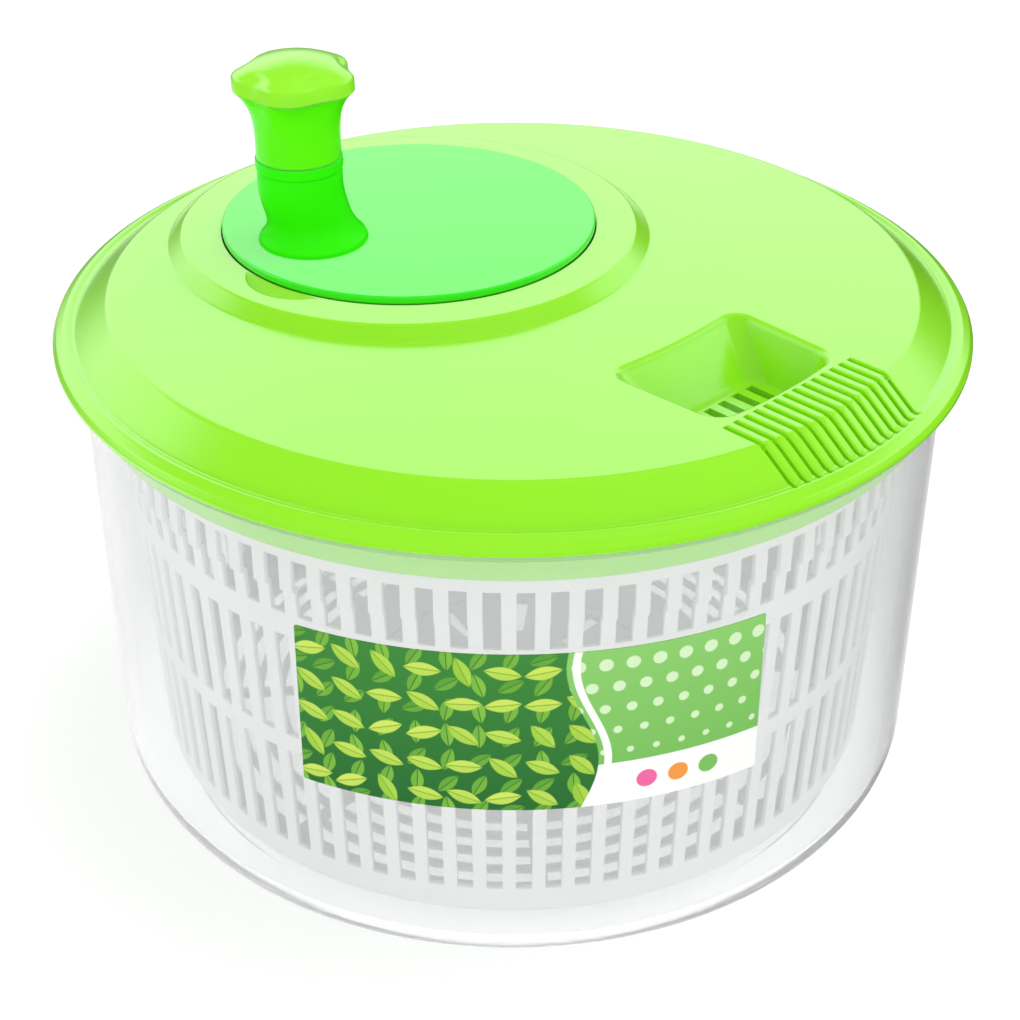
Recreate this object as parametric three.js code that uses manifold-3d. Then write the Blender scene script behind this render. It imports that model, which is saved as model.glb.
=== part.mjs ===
// Salad spinner: a clear bowl, a slotted basket that turns inside it, and a lid that carries the
// crank. A knob turns a disc with an internal ring gear, the ring drives a pinion on the lid's
// centre line, and the pinion turns a drive plate that takes the basket round with it.
//
// Millimetres, +Z up. The origin is at the middle of the foot ring, on the table. The funnel and
// the pouring comb in the lid face nearly -Y, and the crank stands off the centre towards +Y.

import * as THREE from 'three';
import { mergeGeometries, mergeVertices } from 'three/addons/utils/BufferGeometryUtils.js';
import Module from 'manifold-3d';

const wasm = await Module();
wasm.setup();

// ---------------------------------------------------------------- sizes

// Clearances that every fit uses.
const SEAT_GAP = 0.3;          // between faces that rest on each other
const SHAFT_GAP = 0.3;         // round a shaft in its bush, and a screw in its hole
const PLUG_GAP = 0.4;          // between the lid's plug and the bowl

// Bowl.
const BOWL_RADIUS = 114.5;     // outside, just under the flange
const BOWL_TAPER = 1.6;        // how much smaller the wall is at its foot
const BOWL_WALL = 1.8;
const BOWL_FLOOR = 2.2;
const BOWL_CORNER = 13;        // outside radius between wall and base
const BOWL_HEIGHT = 129.1;     // to the top of the flange
const BOWL_LIP = 1.6;          // how far the lip stands above the flange
const FLANGE_OVERHANG = 5;     // how far the flange stands out from the wall
const FLANGE_THICKNESS = 1.9;
const FOOT_WIDTH = 3;
const FOOT_HEIGHT = 0.8;
const PIVOT_RADIUS = 5;        // pin in the middle of the floor that the basket turns on
const PIVOT_HEIGHT = 12.8;     // above the floor
const PIVOT_FOOT = 2.6;        // how far the pin's conical foot spreads

// Basket.
const BASKET_PLUG_GAP = 2.7;   // between the basket's rim and the lid's plug
const BASKET_TAPER = 4.6;      // how much smaller the wall is at the lowest slots
const BASKET_STEP = 1;         // inward step in the wall, across the top row of slots
const BASKET_WALL = 1.6;
const BASKET_FLOOR = 1.8;
const BASKET_CORNER = 7;
const BASKET_LIFT = 3.1;       // water space under the basket's floor
const BASKET_RIM = 2.4;        // how far the rim stands out from the wall
const BASKET_RIM_THICKNESS = 1.6;
const SLOTS_ROUND = 86;
const SLOT_WIDTH = 4.15;
const SLOT_BAND = 6.2;         // solid band between the top row and the rim's top
const SLOT_BOTTOM = 10.7;      // solid band between the floor and the lowest row
const TOP_SLOT = 16.9;         // height of the short top row
const UPPER_SPACING = 7;       // solid ring below the top row
const LOWER_SPACING = 5.3;     // solid ring above the lowest row
const STEP_ABOVE_ROW = 8.2;    // the step lies this far above the top row's lower end
const SOCKET_ROOF = 2;
const SOCKET_WALL = 1.9;
const KEYS_ROUND = 8;          // keys inside the mouth that the drive plate turns
const KEY_WIDTH = 2.2;
const KEY_DEPTH = 2.8;
const KEY_LENGTH = 5.8;

// Floor slots of the basket: an inner and an outer ring of radial slots.
const FLOOR_SLOT_WIDTH = 3.4;
const FLOOR_RINGS = 4;         // rings of curved slots in the outer part of the floor
const FLOOR_RING_SECTORS = 8;
const FLOOR_RING_SLOT = 4.4;   // width of a curved slot
const FLOOR_RING_BAR = 2.1;    // width of the bar between two rings of slots
const FLOOR_SPOKE_WIDTH = 3.4; // width of the spokes that part the curved slots
const FLOOR_RING_MARGIN = 12.4;       // between the outermost ring and the wall's foot
const INNER_FLOOR_SLOTS = 10;
const INNER_FLOOR_SLOT_START = 24;
const INNER_FLOOR_SLOT_END = 40;

// Lid.
const LID_OVERHANG = 1.5;      // how far the lid's rim stands out past the bowl's flange
const LID_BEAD = 5.5;          // from the rim in to the crease at the skirt's foot
const LID_SKIRT_RUN = 9.2;     // from the crease in to the edge of the flat top
const LID_SKIRT_DROP = 7.1;    // from the flat top to the crease
const LID_WALL = 1.8;
const LID_CREASE_WALL = 1.9;   // over the bowl's lip, at the crease
const BEAD_WALL = 2;
const BEAD_RISE = 0.6;         // how far the bead stands above the crease
const PLUG_DEPTH = 13.2;
const PLUG_WALL = 1.8;

// Pouring comb: straight grooves over the edge of the lid, cut through where the skirt is free.
const COMB_GROOVES = 14;
const COMB_PITCH = 3.6;
const COMB_GROOVE_WIDTH = 1.5;
const COMB_GROOVE_DEPTH = 0.9;
const COMB_REACH = 13.4;       // how far the grooves run in from the edge of the flat top

// Funnel for adding water: a tapered well with a slotted floor.
const FUNNEL_INSET = 17;       // from the edge of the flat top in to the funnel's corners
const FUNNEL_LENGTH = 32.4;
const FUNNEL_WIDTH = 46.6;
const FUNNEL_BOW = 1.6;        // how far the two long edges bow out towards the rim
const FUNNEL_DEPTH = 13;
const FUNNEL_NEAR_SLOPE = 10.5;  // how far each wall leans in on its way down
const FUNNEL_SIDE_SLOPE = 5.2;
const FUNNEL_FAR_SLOPE = 1;
const FUNNEL_CORNER = 4.5;
const FUNNEL_SLOTS = 6;
const FUNNEL_SLOT_PITCH = 6;
const FUNNEL_SLOT_WIDTH = 2.6;
const FUNNEL_SLOT_MARGIN = 2;
const FUNNEL_TURN = -4.6;      // the funnel and the comb lie this many degrees round from -Y

// Gears.
const GEAR_MODULE = 1.25;
const RING_TEETH = 75;
const PINION_TEETH = 15;
const PRESSURE_ANGLE = THREE.MathUtils.degToRad(25);
const RING_ADDENDUM = 0.9;     // in modules
const PINION_ADDENDUM = 1;
const DEDENDUM = 1.25;
const BACKLASH = 0.3;
const RING_WALL = 1.8;
const RING_FLANGE_WIDTH = 11.5;
const RING_FLANGE = 2.2;
const RING_HEIGHT = 12;
const PINION_FACE = 9.7;
const PINION_TOP_GAP = 1.4;    // between the pinion and the ring gear's flange

// Raised housing in the lid and the crank disc that turns on it.
const BOSS_WIDTH = 1.7;        // from the gear cover's edge out to the edge of the housing's top
const BOSS_SPREAD = 4.1;       // how far its foot stands out
const BOSS_RISE = 3.4;
const DISC_OVERHANG = 0.96;    // how far the disc reaches past the ring gear
const DISC_GAP = 0.7;          // round the disc, in the housing's opening
const DISC_PROUD = 2;          // how far the disc stands above the housing
const DISC_THICKNESS = 2.2;
const NOTCH_FROM = 168;        // finger notch beside the disc: its ends, in degrees from +X
const NOTCH_TO = 196;
const NOTCH_WIDTH = 5.7;
const NOTCH_DEPTH = 1;
const PEGS_ROUND = 3;          // pegs under the disc that hold the ring gear
const PEG_RADIUS = 1.8;
const HUB_RADIUS = 8;
const CRANK_JOURNAL = 4.9;

// Crank post and knob.
const KNOB_INSET = 19.2;       // from the disc's edge in to the knob's axis
const KNOB_ANGLE = THREE.MathUtils.degToRad(161);
const POST_LEAN = 3;           // the foot lies this much nearer the disc's centre than the top
const POST_HEIGHT = 24.2;
const POST_FOOT_RADIUS = 14.4;
const POST_FOOT_HEIGHT = 1.4;
const POST_FLARE = 7;          // height over which the post widens to its foot
const POST_RADIUS = 11.3;
const POST_WALL = 1.8;
const SPIGOT_RADIUS = 6.2;
const SLEEVE_HEIGHT = 18.6;
const SLEEVE_RADIUS = 11.2;
const SLEEVE_SHELF = 3.9;      // depth of the recess in the sleeve's top
const CAP_RADIUS = 16;
const CAP_EDGE = 3.6;
const CAP_DOME = 4.1;
const CAP_LOBES = 4;
const CAP_SCALLOP = 1.6;
const CAP_WALL = 1.6;

// Cover under the gears, bushes and fasteners.
const COVER_WALL = 1.8;
const POST_SPREAD = 3.5;       // from the housing's opening to the middle of a screw post
const SCREW_POST_RADIUS = 3;
const COVER_SCREWS = 4;
const BUSH_WALL = 1.8;
const BUSH_FLANGE = 1.5;
const BUSH_FLANGE_WIDTH = 2.2;
const BUSH_STAND = 0.7;        // how far a bush stands out under the cover
const SCREW_SHANK = 1.2;
const SCREW_HEAD = 3;
const SCREW_HEAD_HEIGHT = 1.7;
const COVER_SCREW_LENGTH = 11;
const SHAFT_SCREW_LENGTH = 13;
const WASHER_THICKNESS = 1.2;
const WASHER_OVERLAP = 1.4;    // how far a washer reaches past the edge of what it holds

// Pinion shaft and drive plate.
const PINION_JOURNAL = 4;
const DRIVE_HUB_RADIUS = 8.6;
const DRIVE_HUB_LENGTH = 12.3;
const DRIVE_DROP = 9.2;        // from the hub's top to the plate's top
const DRIVE_PLATE = 2;
const DRIVE_RIM = 2;
const DRIVE_RIM_DEPTH = 4.5;
const DRIVE_EDGE = 2.4;        // flange outside the rim, with the keyways
const DRIVE_EDGE_GAP = 1;      // between the flange and the basket's wall
const DRIVE_SLOT_WIDTH = 7;
const OUTER_DRIVE_SLOTS = 12;
const OUTER_DRIVE_SLOT_START = 58;
const OUTER_DRIVE_SLOT_MARGIN = 10;   // between the slots and the plate's rim
const INNER_DRIVE_SLOTS = 6;
const INNER_DRIVE_SLOT_START = 20;
const INNER_DRIVE_SLOT_END = 46;
const KEYWAY_GAP = 0.4;
const RIM_ABOVE_PLATE = 1.5;   // the basket's rim stands this far above the drive plate

// Label on the bowl.
const LABEL_WIDTH = 114;
const LABEL_HEIGHT = 46;
const LABEL_BOTTOM = 53;       // above the table
const LABEL_THICKNESS = 0.3;
const LABEL_DIRECTION = 223; // degrees from +X

// Facets in a full turn.
const FINE = 48;
const MEDIUM = 40;
const SMALL = 18;
const TINY = 8;

// ---------------------------------------------------------------- heights that follow

const bowlFloorTop = FOOT_HEIGHT + BOWL_FLOOR;
const pivotTop = bowlFloorTop + PIVOT_HEIGHT;
const rimBottom = BOWL_HEIGHT + SEAT_GAP;
const channelTop = BOWL_HEIGHT + BOWL_LIP + SEAT_GAP;
const creaseHeight = channelTop + LID_CREASE_WALL;
const lidTop = creaseHeight + LID_SKIRT_DROP;
const plugRadius = BOWL_RADIUS - BOWL_WALL - PLUG_GAP;
const plugInside = plugRadius - PLUG_WALL;
const lidRadius = BOWL_RADIUS + FLANGE_OVERHANG + LID_OVERHANG;
const creaseRadius = lidRadius - LID_BEAD;
const lidTopRadius = creaseRadius - LID_SKIRT_RUN;
const funnelNear = lidTopRadius - FUNNEL_INSET - FUNNEL_LENGTH;
const bossTop = lidTop + BOSS_RISE;
const bossUnderside = bossTop - LID_WALL;

const crankOffset = GEAR_MODULE * (RING_TEETH - PINION_TEETH) / 2;
const ringPitchRadius = GEAR_MODULE * RING_TEETH / 2;
const pinionPitchRadius = GEAR_MODULE * PINION_TEETH / 2;
const ringRadius = ringPitchRadius + DEDENDUM * GEAR_MODULE + RING_WALL;
const ringInside = ringPitchRadius - RING_ADDENDUM * GEAR_MODULE;
const discRadius = ringRadius + DISC_OVERHANG;
const wellRadius = discRadius + DISC_GAP;

const discTop = bossTop + DISC_PROUD;
const discBottom = discTop - DISC_THICKNESS;
const ringTop = discBottom - SEAT_GAP;
const ringFlangeBottom = ringTop - RING_FLANGE;
const pinionTop = ringFlangeBottom - PINION_TOP_GAP;
const pinionBottom = pinionTop - PINION_FACE;
const bushTop = pinionBottom - SEAT_GAP;
const coverFloorTop = bushTop - BUSH_FLANGE - SEAT_GAP;
const coverBottom = coverFloorTop - COVER_WALL;
const bushBottom = coverBottom - BUSH_STAND;
const shaftShoulder = bushBottom - SEAT_GAP;
const drivePlateTop = shaftShoulder - DRIVE_DROP;
const driveHubBottom = shaftShoulder - DRIVE_HUB_LENGTH;
const coverScrewOrbit = wellRadius + POST_SPREAD;
const coverRadius = coverScrewOrbit + SCREW_POST_RADIUS + SEAT_GAP + COVER_WALL;
const bossRadius = coverRadius + BOSS_WIDTH;

const basketBottom = bowlFloorTop + BASKET_LIFT;
const basketFloorTop = basketBottom + BASKET_FLOOR;
const basketTop = drivePlateTop + RIM_ABOVE_PLATE;
const basketRadius = plugInside - BASKET_PLUG_GAP - BASKET_RIM;
const basketInside = basketRadius - BASKET_WALL;

const knobOrbit = discRadius - KNOB_INSET;
const postTop = discTop + POST_HEIGHT;
const sleeveBottom = postTop + SEAT_GAP;
const sleeveTop = sleeveBottom + SLEEVE_HEIGHT;
const sleeveShelf = sleeveTop - SLEEVE_SHELF;
const spigotTop = sleeveShelf + SEAT_GAP;
const capBottom = sleeveTop + SEAT_GAP;

// ---------------------------------------------------------------- tools

// Merged, closed geometry with its faces outwards, as a solid that can be cut and joined.
function solid(geometry) {
  const bare = geometry.index ? geometry.toNonIndexed() : geometry.clone();
  bare.deleteAttribute('normal');
  bare.deleteAttribute('uv');
  const merged = mergeVertices(bare, 1e-4);
  const position = merged.attributes.position;
  const corners = [];
  let volume = 0;
  const a = new THREE.Vector3();
  const b = new THREE.Vector3();
  const c = new THREE.Vector3();
  for (let i = 0; i < merged.index.count; i += 3) {
    const [p, q, r] = [0, 1, 2].map((k) => merged.index.getX(i + k));
    if (p === q || q === r || r === p) continue;
    corners.push([p, q, r]);
    a.fromBufferAttribute(position, p);
    b.fromBufferAttribute(position, q);
    c.fromBufferAttribute(position, r);
    volume += a.dot(b.cross(c));
  }
  if (volume < 0) corners.forEach((corner) => corner.reverse());
  return new wasm.Manifold(new wasm.Mesh({
    numProp: 3,
    vertProperties: new Float32Array(position.array),
    triVerts: new Uint32Array(corners.flat()),
  }));
}

function join(first, ...others) {
  return others.reduce((sum, other) => sum.add(other), first);
}

function cut(first, ...others) {
  return others.reduce((rest, other) => rest.subtract(other), first);
}

// A profile of [radius, height] pairs turned about the vertical line through (x, y).
function revolve(profile, segments, x = 0, y = 0) {
  const points = profile.map(([radius, height]) => new THREE.Vector2(radius, height));
  return new THREE.LatheGeometry(points, segments).rotateX(Math.PI / 2).translate(x, y, 0);
}

// The same for a profile that doesn't reach the axis: it closes on its own first point.
function revolveLoop(profile, segments, x = 0, y = 0) {
  return revolve([...profile, profile[0]], segments, x, y);
}

function cylinder(radius, bottom, top, segments, x = 0, y = 0) {
  return revolve([[0, bottom], [radius, bottom], [radius, top], [0, top]], segments, x, y);
}

function tube(inner, outer, bottom, top, segments, x = 0, y = 0) {
  return revolveLoop([[inner, bottom], [outer, bottom], [outer, top], [inner, top]], segments, x, y);
}

// Points along an arc, as [radius, height] pairs; angles in degrees.
function arc(centreRadius, centreHeight, radius, from, to, steps) {
  return Array.from({ length: steps + 1 }, (_, i) => {
    const angle = THREE.MathUtils.degToRad(from + (to - from) * i / steps);
    return [centreRadius + radius * Math.cos(angle), centreHeight + radius * Math.sin(angle)];
  });
}

// Upright boxes set round a circle, centred on the radius, with the first half a step from -Y.
function boxesRound(count, { width, from, to, bottom, top }) {
  const boxes = [];
  for (let i = 0; i < count; i += 1) {
    const block = new THREE.BoxGeometry(width, to - from, top - bottom);
    block.translate(0, -(from + to) / 2, (bottom + top) / 2);
    boxes.push(block.rotateZ((i + 0.5) * 2 * Math.PI / count));
  }
  return mergeGeometries(boxes);
}

// Flat ring segment between two radii; angles in degrees, drawn in the XY plane.
function ringSector(inner, outer, from, to) {
  const start = THREE.MathUtils.degToRad(from);
  const end = THREE.MathUtils.degToRad(to);
  const shape = new THREE.Shape();
  shape.absarc(0, 0, outer, start, end, false);
  shape.absarc(0, 0, inner, end, start, true);
  return shape;
}

function extrude(shape, bottom, top, curveSegments = 8) {
  const options = { depth: top - bottom, bevelEnabled: false, curveSegments };
  return new THREE.ExtrudeGeometry(shape, options).translate(0, 0, bottom);
}

function eachVertex(geometry, move) {
  const position = geometry.attributes.position;
  const point = new THREE.Vector3();
  for (let i = 0; i < position.count; i += 1) {
    point.fromBufferAttribute(position, i);
    move(point);
    position.setXYZ(i, point.x, point.y, point.z);
  }
  return geometry;
}

// ---------------------------------------------------------------- gear teeth

function involute(angle) {
  return Math.tan(angle) - angle;
}

// Outline of an external involute gear with one tooth pointing along -Y. A ring gear is a plate
// from which the same outline, with its gaps and teeth exchanged, is cut.
function gearOutline({ teeth, tip, root, thickness, flankSteps }) {
  const pitch = GEAR_MODULE * teeth / 2;
  const base = pitch * Math.cos(PRESSURE_ANGLE);
  const halfAtPitch = thickness / 2 / pitch;
  const halfAngle = (radius) => {
    const pressure = Math.acos(Math.min(1, base / Math.max(radius, base)));
    return halfAtPitch + involute(PRESSURE_ANGLE) - involute(pressure);
  };
  const points = [];
  for (let tooth = 0; tooth < teeth; tooth += 1) {
    const centre = -Math.PI / 2 + tooth * 2 * Math.PI / teeth;
    for (const side of [-1, 1]) {
      for (let step = 0; step <= flankSteps; step += 1) {
        const share = side < 0 ? step / flankSteps : 1 - step / flankSteps;
        const radius = root + (tip - root) * share;
        const angle = centre + side * halfAngle(radius);
        points.push(new THREE.Vector2(radius * Math.cos(angle), radius * Math.sin(angle)));
      }
    }
  }
  return new THREE.Shape(points);
}

const toothThickness = Math.PI * GEAR_MODULE / 2;

// ---------------------------------------------------------------- bowl

// Wall radius outside at a height, from the flange down to the corner.
function bowlWallRadius(height) {
  const foot = BOWL_CORNER;
  return BOWL_RADIUS - BOWL_TAPER * (BOWL_HEIGHT - height) / (BOWL_HEIGHT - foot);
}

function makeBowl() {
  const footOuter = bowlWallRadius(BOWL_CORNER) - BOWL_CORNER;
  const innerCorner = BOWL_CORNER - BOWL_WALL;
  const cornerCentre = bowlWallRadius(BOWL_CORNER) - BOWL_CORNER;
  const flangeBottom = BOWL_HEIGHT - FLANGE_THICKNESS;
  const lipTop = BOWL_HEIGHT + BOWL_LIP;
  const vessel = solid(revolve([
    [0, FOOT_HEIGHT],
    [footOuter - FOOT_WIDTH, FOOT_HEIGHT],
    [footOuter - FOOT_WIDTH, 0],
    ...arc(cornerCentre, BOWL_CORNER, BOWL_CORNER, -90, 0, 4),
    [bowlWallRadius(flangeBottom), flangeBottom],
    [BOWL_RADIUS + FLANGE_OVERHANG, flangeBottom],
    [BOWL_RADIUS + FLANGE_OVERHANG, BOWL_HEIGHT],
    [BOWL_RADIUS, BOWL_HEIGHT],
    [BOWL_RADIUS, lipTop],
    [BOWL_RADIUS - BOWL_WALL, lipTop],
    ...arc(cornerCentre, bowlFloorTop + innerCorner, innerCorner, 0, -90, 3),
    [0, bowlFloorTop],
  ], FINE));
  const pivot = solid(revolve([
    [0, bowlFloorTop - BOWL_FLOOR / 2],
    [PIVOT_RADIUS + PIVOT_FOOT, bowlFloorTop - BOWL_FLOOR / 2],
    [PIVOT_RADIUS + PIVOT_FOOT, bowlFloorTop],
    [PIVOT_RADIUS, bowlFloorTop + PIVOT_FOOT],
    [PIVOT_RADIUS, pivotTop - PIVOT_RADIUS * 0.6],
    [PIVOT_RADIUS * 0.55, pivotTop],
    [0, pivotTop],
  ], SMALL));
  return join(vessel, pivot);
}

function makeLabel() {
  const halfTurn = THREE.MathUtils.radToDeg(LABEL_WIDTH / 2 / BOWL_RADIUS);
  const inner = bowlWallRadius(LABEL_BOTTOM) + SEAT_GAP;
  const sheet = extrude(
    ringSector(inner, inner + LABEL_THICKNESS, LABEL_DIRECTION - halfTurn, LABEL_DIRECTION + halfTurn),
    LABEL_BOTTOM,
    LABEL_BOTTOM + LABEL_HEIGHT,
    12,
  );
  const lean = BOWL_TAPER / (BOWL_HEIGHT - BOWL_CORNER);
  return solid(eachVertex(sheet, (point) => {
    const radius = Math.hypot(point.x, point.y);
    const grown = (radius + lean * (point.z - LABEL_BOTTOM)) / radius;
    point.x *= grown;
    point.y *= grown;
  }));
}

// ---------------------------------------------------------------- basket

function makeBasket() {
  const rowsBottom = basketBottom + SLOT_BOTTOM;
  const rowsTop = basketTop - SLOT_BAND;
  const tallSlot = (rowsTop - rowsBottom - TOP_SLOT - UPPER_SPACING - LOWER_SPACING) / 2;
  const stepHeight = rowsTop - TOP_SLOT + STEP_ABOVE_ROW;
  const belowStep = basketRadius - BASKET_STEP;
  const foot = belowStep - BASKET_TAPER;
  const cornerCentre = foot - BASKET_CORNER;
  const innerCorner = BASKET_CORNER - BASKET_WALL;
  const plateInside = INNER_FLOOR_SLOT_START * 0.75;
  const body = solid(revolveLoop([
    [plateInside, basketBottom],
    ...arc(cornerCentre, basketBottom + BASKET_CORNER, BASKET_CORNER, -90, 0, 2),
    [belowStep, stepHeight],
    [basketRadius, stepHeight + 0.5],
    [basketRadius, basketTop - BASKET_RIM_THICKNESS],
    [basketRadius + BASKET_RIM, basketTop - BASKET_RIM_THICKNESS],
    [basketRadius + BASKET_RIM, basketTop],
    [basketInside, basketTop],
    [basketInside, stepHeight + 1.5],
    [belowStep - BASKET_WALL, stepHeight + 1],
    ...arc(cornerCentre, basketFloorTop + innerCorner, innerCorner, 0, -90, 2),
    [plateInside, basketFloorTop],
  ], SLOTS_ROUND / 2));

  const socketRadius = PIVOT_RADIUS + SHAFT_GAP;
  const socketMouth = socketRadius + PIVOT_FOOT;
  const socketRoof = pivotTop + SEAT_GAP;
  const hub = solid(revolve([
    [0, socketRoof],
    [socketRadius, socketRoof],
    [socketRadius, basketBottom],
    [plateInside + 1, basketBottom],
    [plateInside + 1, basketFloorTop],
    [socketMouth + SOCKET_WALL, basketFloorTop],
    [socketRadius + SOCKET_WALL, basketFloorTop + 3],
    [socketRadius + SOCKET_WALL, socketRoof + SOCKET_ROOF],
    [0, socketRoof + SOCKET_ROOF],
  ], SMALL));

  const keys = solid(boxesRound(KEYS_ROUND, {
    width: KEY_WIDTH,
    from: basketInside - KEY_DEPTH,
    to: basketInside + BASKET_WALL / 2,
    bottom: basketTop - SEAT_GAP - KEY_LENGTH,
    top: basketTop - SEAT_GAP,
  }));

  const rows = [
    [rowsBottom, rowsBottom + tallSlot],
    [rowsBottom + tallSlot + LOWER_SPACING, rowsTop - TOP_SLOT - UPPER_SPACING],
    [rowsTop - TOP_SLOT, rowsTop],
  ].map(([bottom, top]) => solid(boxesRound(SLOTS_ROUND, {
    width: SLOT_WIDTH,
    from: cornerCentre + innerCorner / 2,
    to: basketRadius + 1,
    bottom,
    top,
  })));
  const innerSlots = solid(boxesRound(INNER_FLOOR_SLOTS, {
    width: FLOOR_SLOT_WIDTH,
    from: INNER_FLOOR_SLOT_START,
    to: INNER_FLOOR_SLOT_END,
    bottom: basketBottom - 1,
    top: basketFloorTop + 1,
  }));
  const curvedSlots = curvedFloorSlots(foot - FLOOR_RING_MARGIN);
  return cut(join(body, hub, keys), ...rows, innerSlots, curvedSlots);
}

// Rings of curved slots from a radius inwards, parted by spokes.
function curvedFloorSlots(outermost) {
  const slots = [];
  const sector = 360 / FLOOR_RING_SECTORS;
  for (let ring = 0; ring < FLOOR_RINGS; ring += 1) {
    const outside = outermost - ring * (FLOOR_RING_SLOT + FLOOR_RING_BAR);
    const inside = outside - FLOOR_RING_SLOT;
    const spoke = THREE.MathUtils.radToDeg(FLOOR_SPOKE_WIDTH / outside);
    for (let i = 0; i < FLOOR_RING_SECTORS; i += 1) {
      const shape = ringSector(inside, outside, i * sector + spoke / 2, (i + 1) * sector - spoke / 2);
      slots.push(extrude(shape, basketBottom - 1, basketFloorTop + 1, 2));
    }
  }
  return solid(mergeGeometries(slots));
}

// ---------------------------------------------------------------- lid

const skirtSlope = LID_SKIRT_DROP / (creaseRadius - lidTopRadius);
const skirtSlant = Math.hypot(1, skirtSlope);

function skirtOutside(radius) {
  return lidTop - skirtSlope * (radius - lidTopRadius);
}

function skirtInside(radius) {
  return skirtOutside(radius) - LID_WALL * skirtSlant;
}

function makeLidShell() {
  const flatInside = lidTopRadius - LID_WALL * (skirtSlant - 1) / skirtSlope;
  const beadTop = creaseHeight + BEAD_RISE;
  return solid(revolve([
    [0, lidTop],
    [lidTopRadius - 0.8, lidTop],
    [lidTopRadius + 0.6, skirtOutside(lidTopRadius + 0.6)],
    [creaseRadius, creaseHeight],
    [lidRadius - BEAD_WALL, beadTop],
    [lidRadius - BEAD_WALL / 4, beadTop - 0.4],
    [lidRadius, beadTop - BEAD_WALL],
    [lidRadius, rimBottom],
    [lidRadius - BEAD_WALL, rimBottom],
    [lidRadius - BEAD_WALL, channelTop],
    [plugRadius, channelTop],
    [plugRadius, channelTop - PLUG_DEPTH],
    [plugInside, channelTop - PLUG_DEPTH],
    [plugInside, skirtInside(plugInside)],
    [flatInside, lidTop - LID_WALL],
    [0, lidTop - LID_WALL],
  ], FINE));
}

// Housing over the gears: a raised shell with a round opening for the ring gear.
function makeBoss() {
  const foot = bossRadius + BOSS_SPREAD;
  const inside = bossRadius - LID_WALL / 2;
  const insideFoot = foot - LID_WALL * 1.6;
  const plateBottom = lidTop - LID_WALL + 0.2;
  return solid(revolveLoop([
    [foot + 0.2, plateBottom],
    [foot, lidTop],
    [bossRadius + 0.7, bossTop - 0.5],
    [bossRadius, bossTop],
    [wellRadius, bossTop],
    [wellRadius, bossUnderside],
    [inside, bossUnderside],
    [insideFoot, plateBottom],
  ], MEDIUM, 0, crankOffset));
}

function coverScrewPlaces() {
  return Array.from({ length: COVER_SCREWS }, (_, i) => {
    const angle = (i + 0.5) * 2 * Math.PI / COVER_SCREWS;
    const x = coverScrewOrbit * Math.cos(angle);
    const y = crankOffset + coverScrewOrbit * Math.sin(angle);
    return [x, y];
  });
}

// The funnel's well, grown by a wall on every side and drawn between two heights. Its two long
// edges bow out towards the rim.
function funnelWell(wall, bottom, top) {
  const halfWidth = FUNNEL_WIDTH / 2 + wall;
  const near = -funnelNear + wall;
  const far = -(funnelNear + FUNNEL_LENGTH) - wall;
  const corner = FUNNEL_CORNER + wall;
  const longEdge = halfWidth - corner;
  const shape = new THREE.Shape();
  shape.absarc(longEdge, near - corner, corner, 0, Math.PI / 2, false);
  [0.5, 0, -0.5].forEach((share) => shape.lineTo(share * longEdge, near));
  shape.absarc(-longEdge, near - corner, corner, Math.PI / 2, Math.PI, false);
  shape.absarc(-longEdge, far + corner, corner, Math.PI, 1.5 * Math.PI, false);
  [-0.5, 0, 0.5].forEach((share) => shape.lineTo(share * longEdge, far));
  shape.absarc(longEdge, far + corner, corner, 1.5 * Math.PI, 2 * Math.PI, false);
  return solid(eachVertex(extrude(shape, bottom, top, 3), (point) => {
    const down = (lidTop - point.z) / FUNNEL_DEPTH;
    const along = (point.y - far) / (near - far);
    point.y -= FUNNEL_BOW * (1 - (point.x / halfWidth) ** 2);
    point.x *= 1 - down * FUNNEL_SIDE_SLOPE / halfWidth;
    point.y += down * (FUNNEL_FAR_SLOPE * (1 - along) - FUNNEL_NEAR_SLOPE * along);
  }));
}

function makeFunnelSlots() {
  const near = funnelNear + FUNNEL_NEAR_SLOPE + FUNNEL_SLOT_MARGIN;
  const far = funnelNear + FUNNEL_LENGTH - FUNNEL_FAR_SLOPE - FUNNEL_SLOT_MARGIN;
  const floorTop = lidTop - FUNNEL_DEPTH;
  const slots = [];
  for (let i = 0; i < FUNNEL_SLOTS; i += 1) {
    const slot = new THREE.BoxGeometry(FUNNEL_SLOT_WIDTH, far - near, 3 * LID_WALL);
    const across = (i - (FUNNEL_SLOTS - 1) / 2) * FUNNEL_SLOT_PITCH;
    slots.push(slot.translate(across, -(near + far) / 2, floorTop - LID_WALL / 2));
  }
  return solid(mergeGeometries(slots));
}

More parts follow.
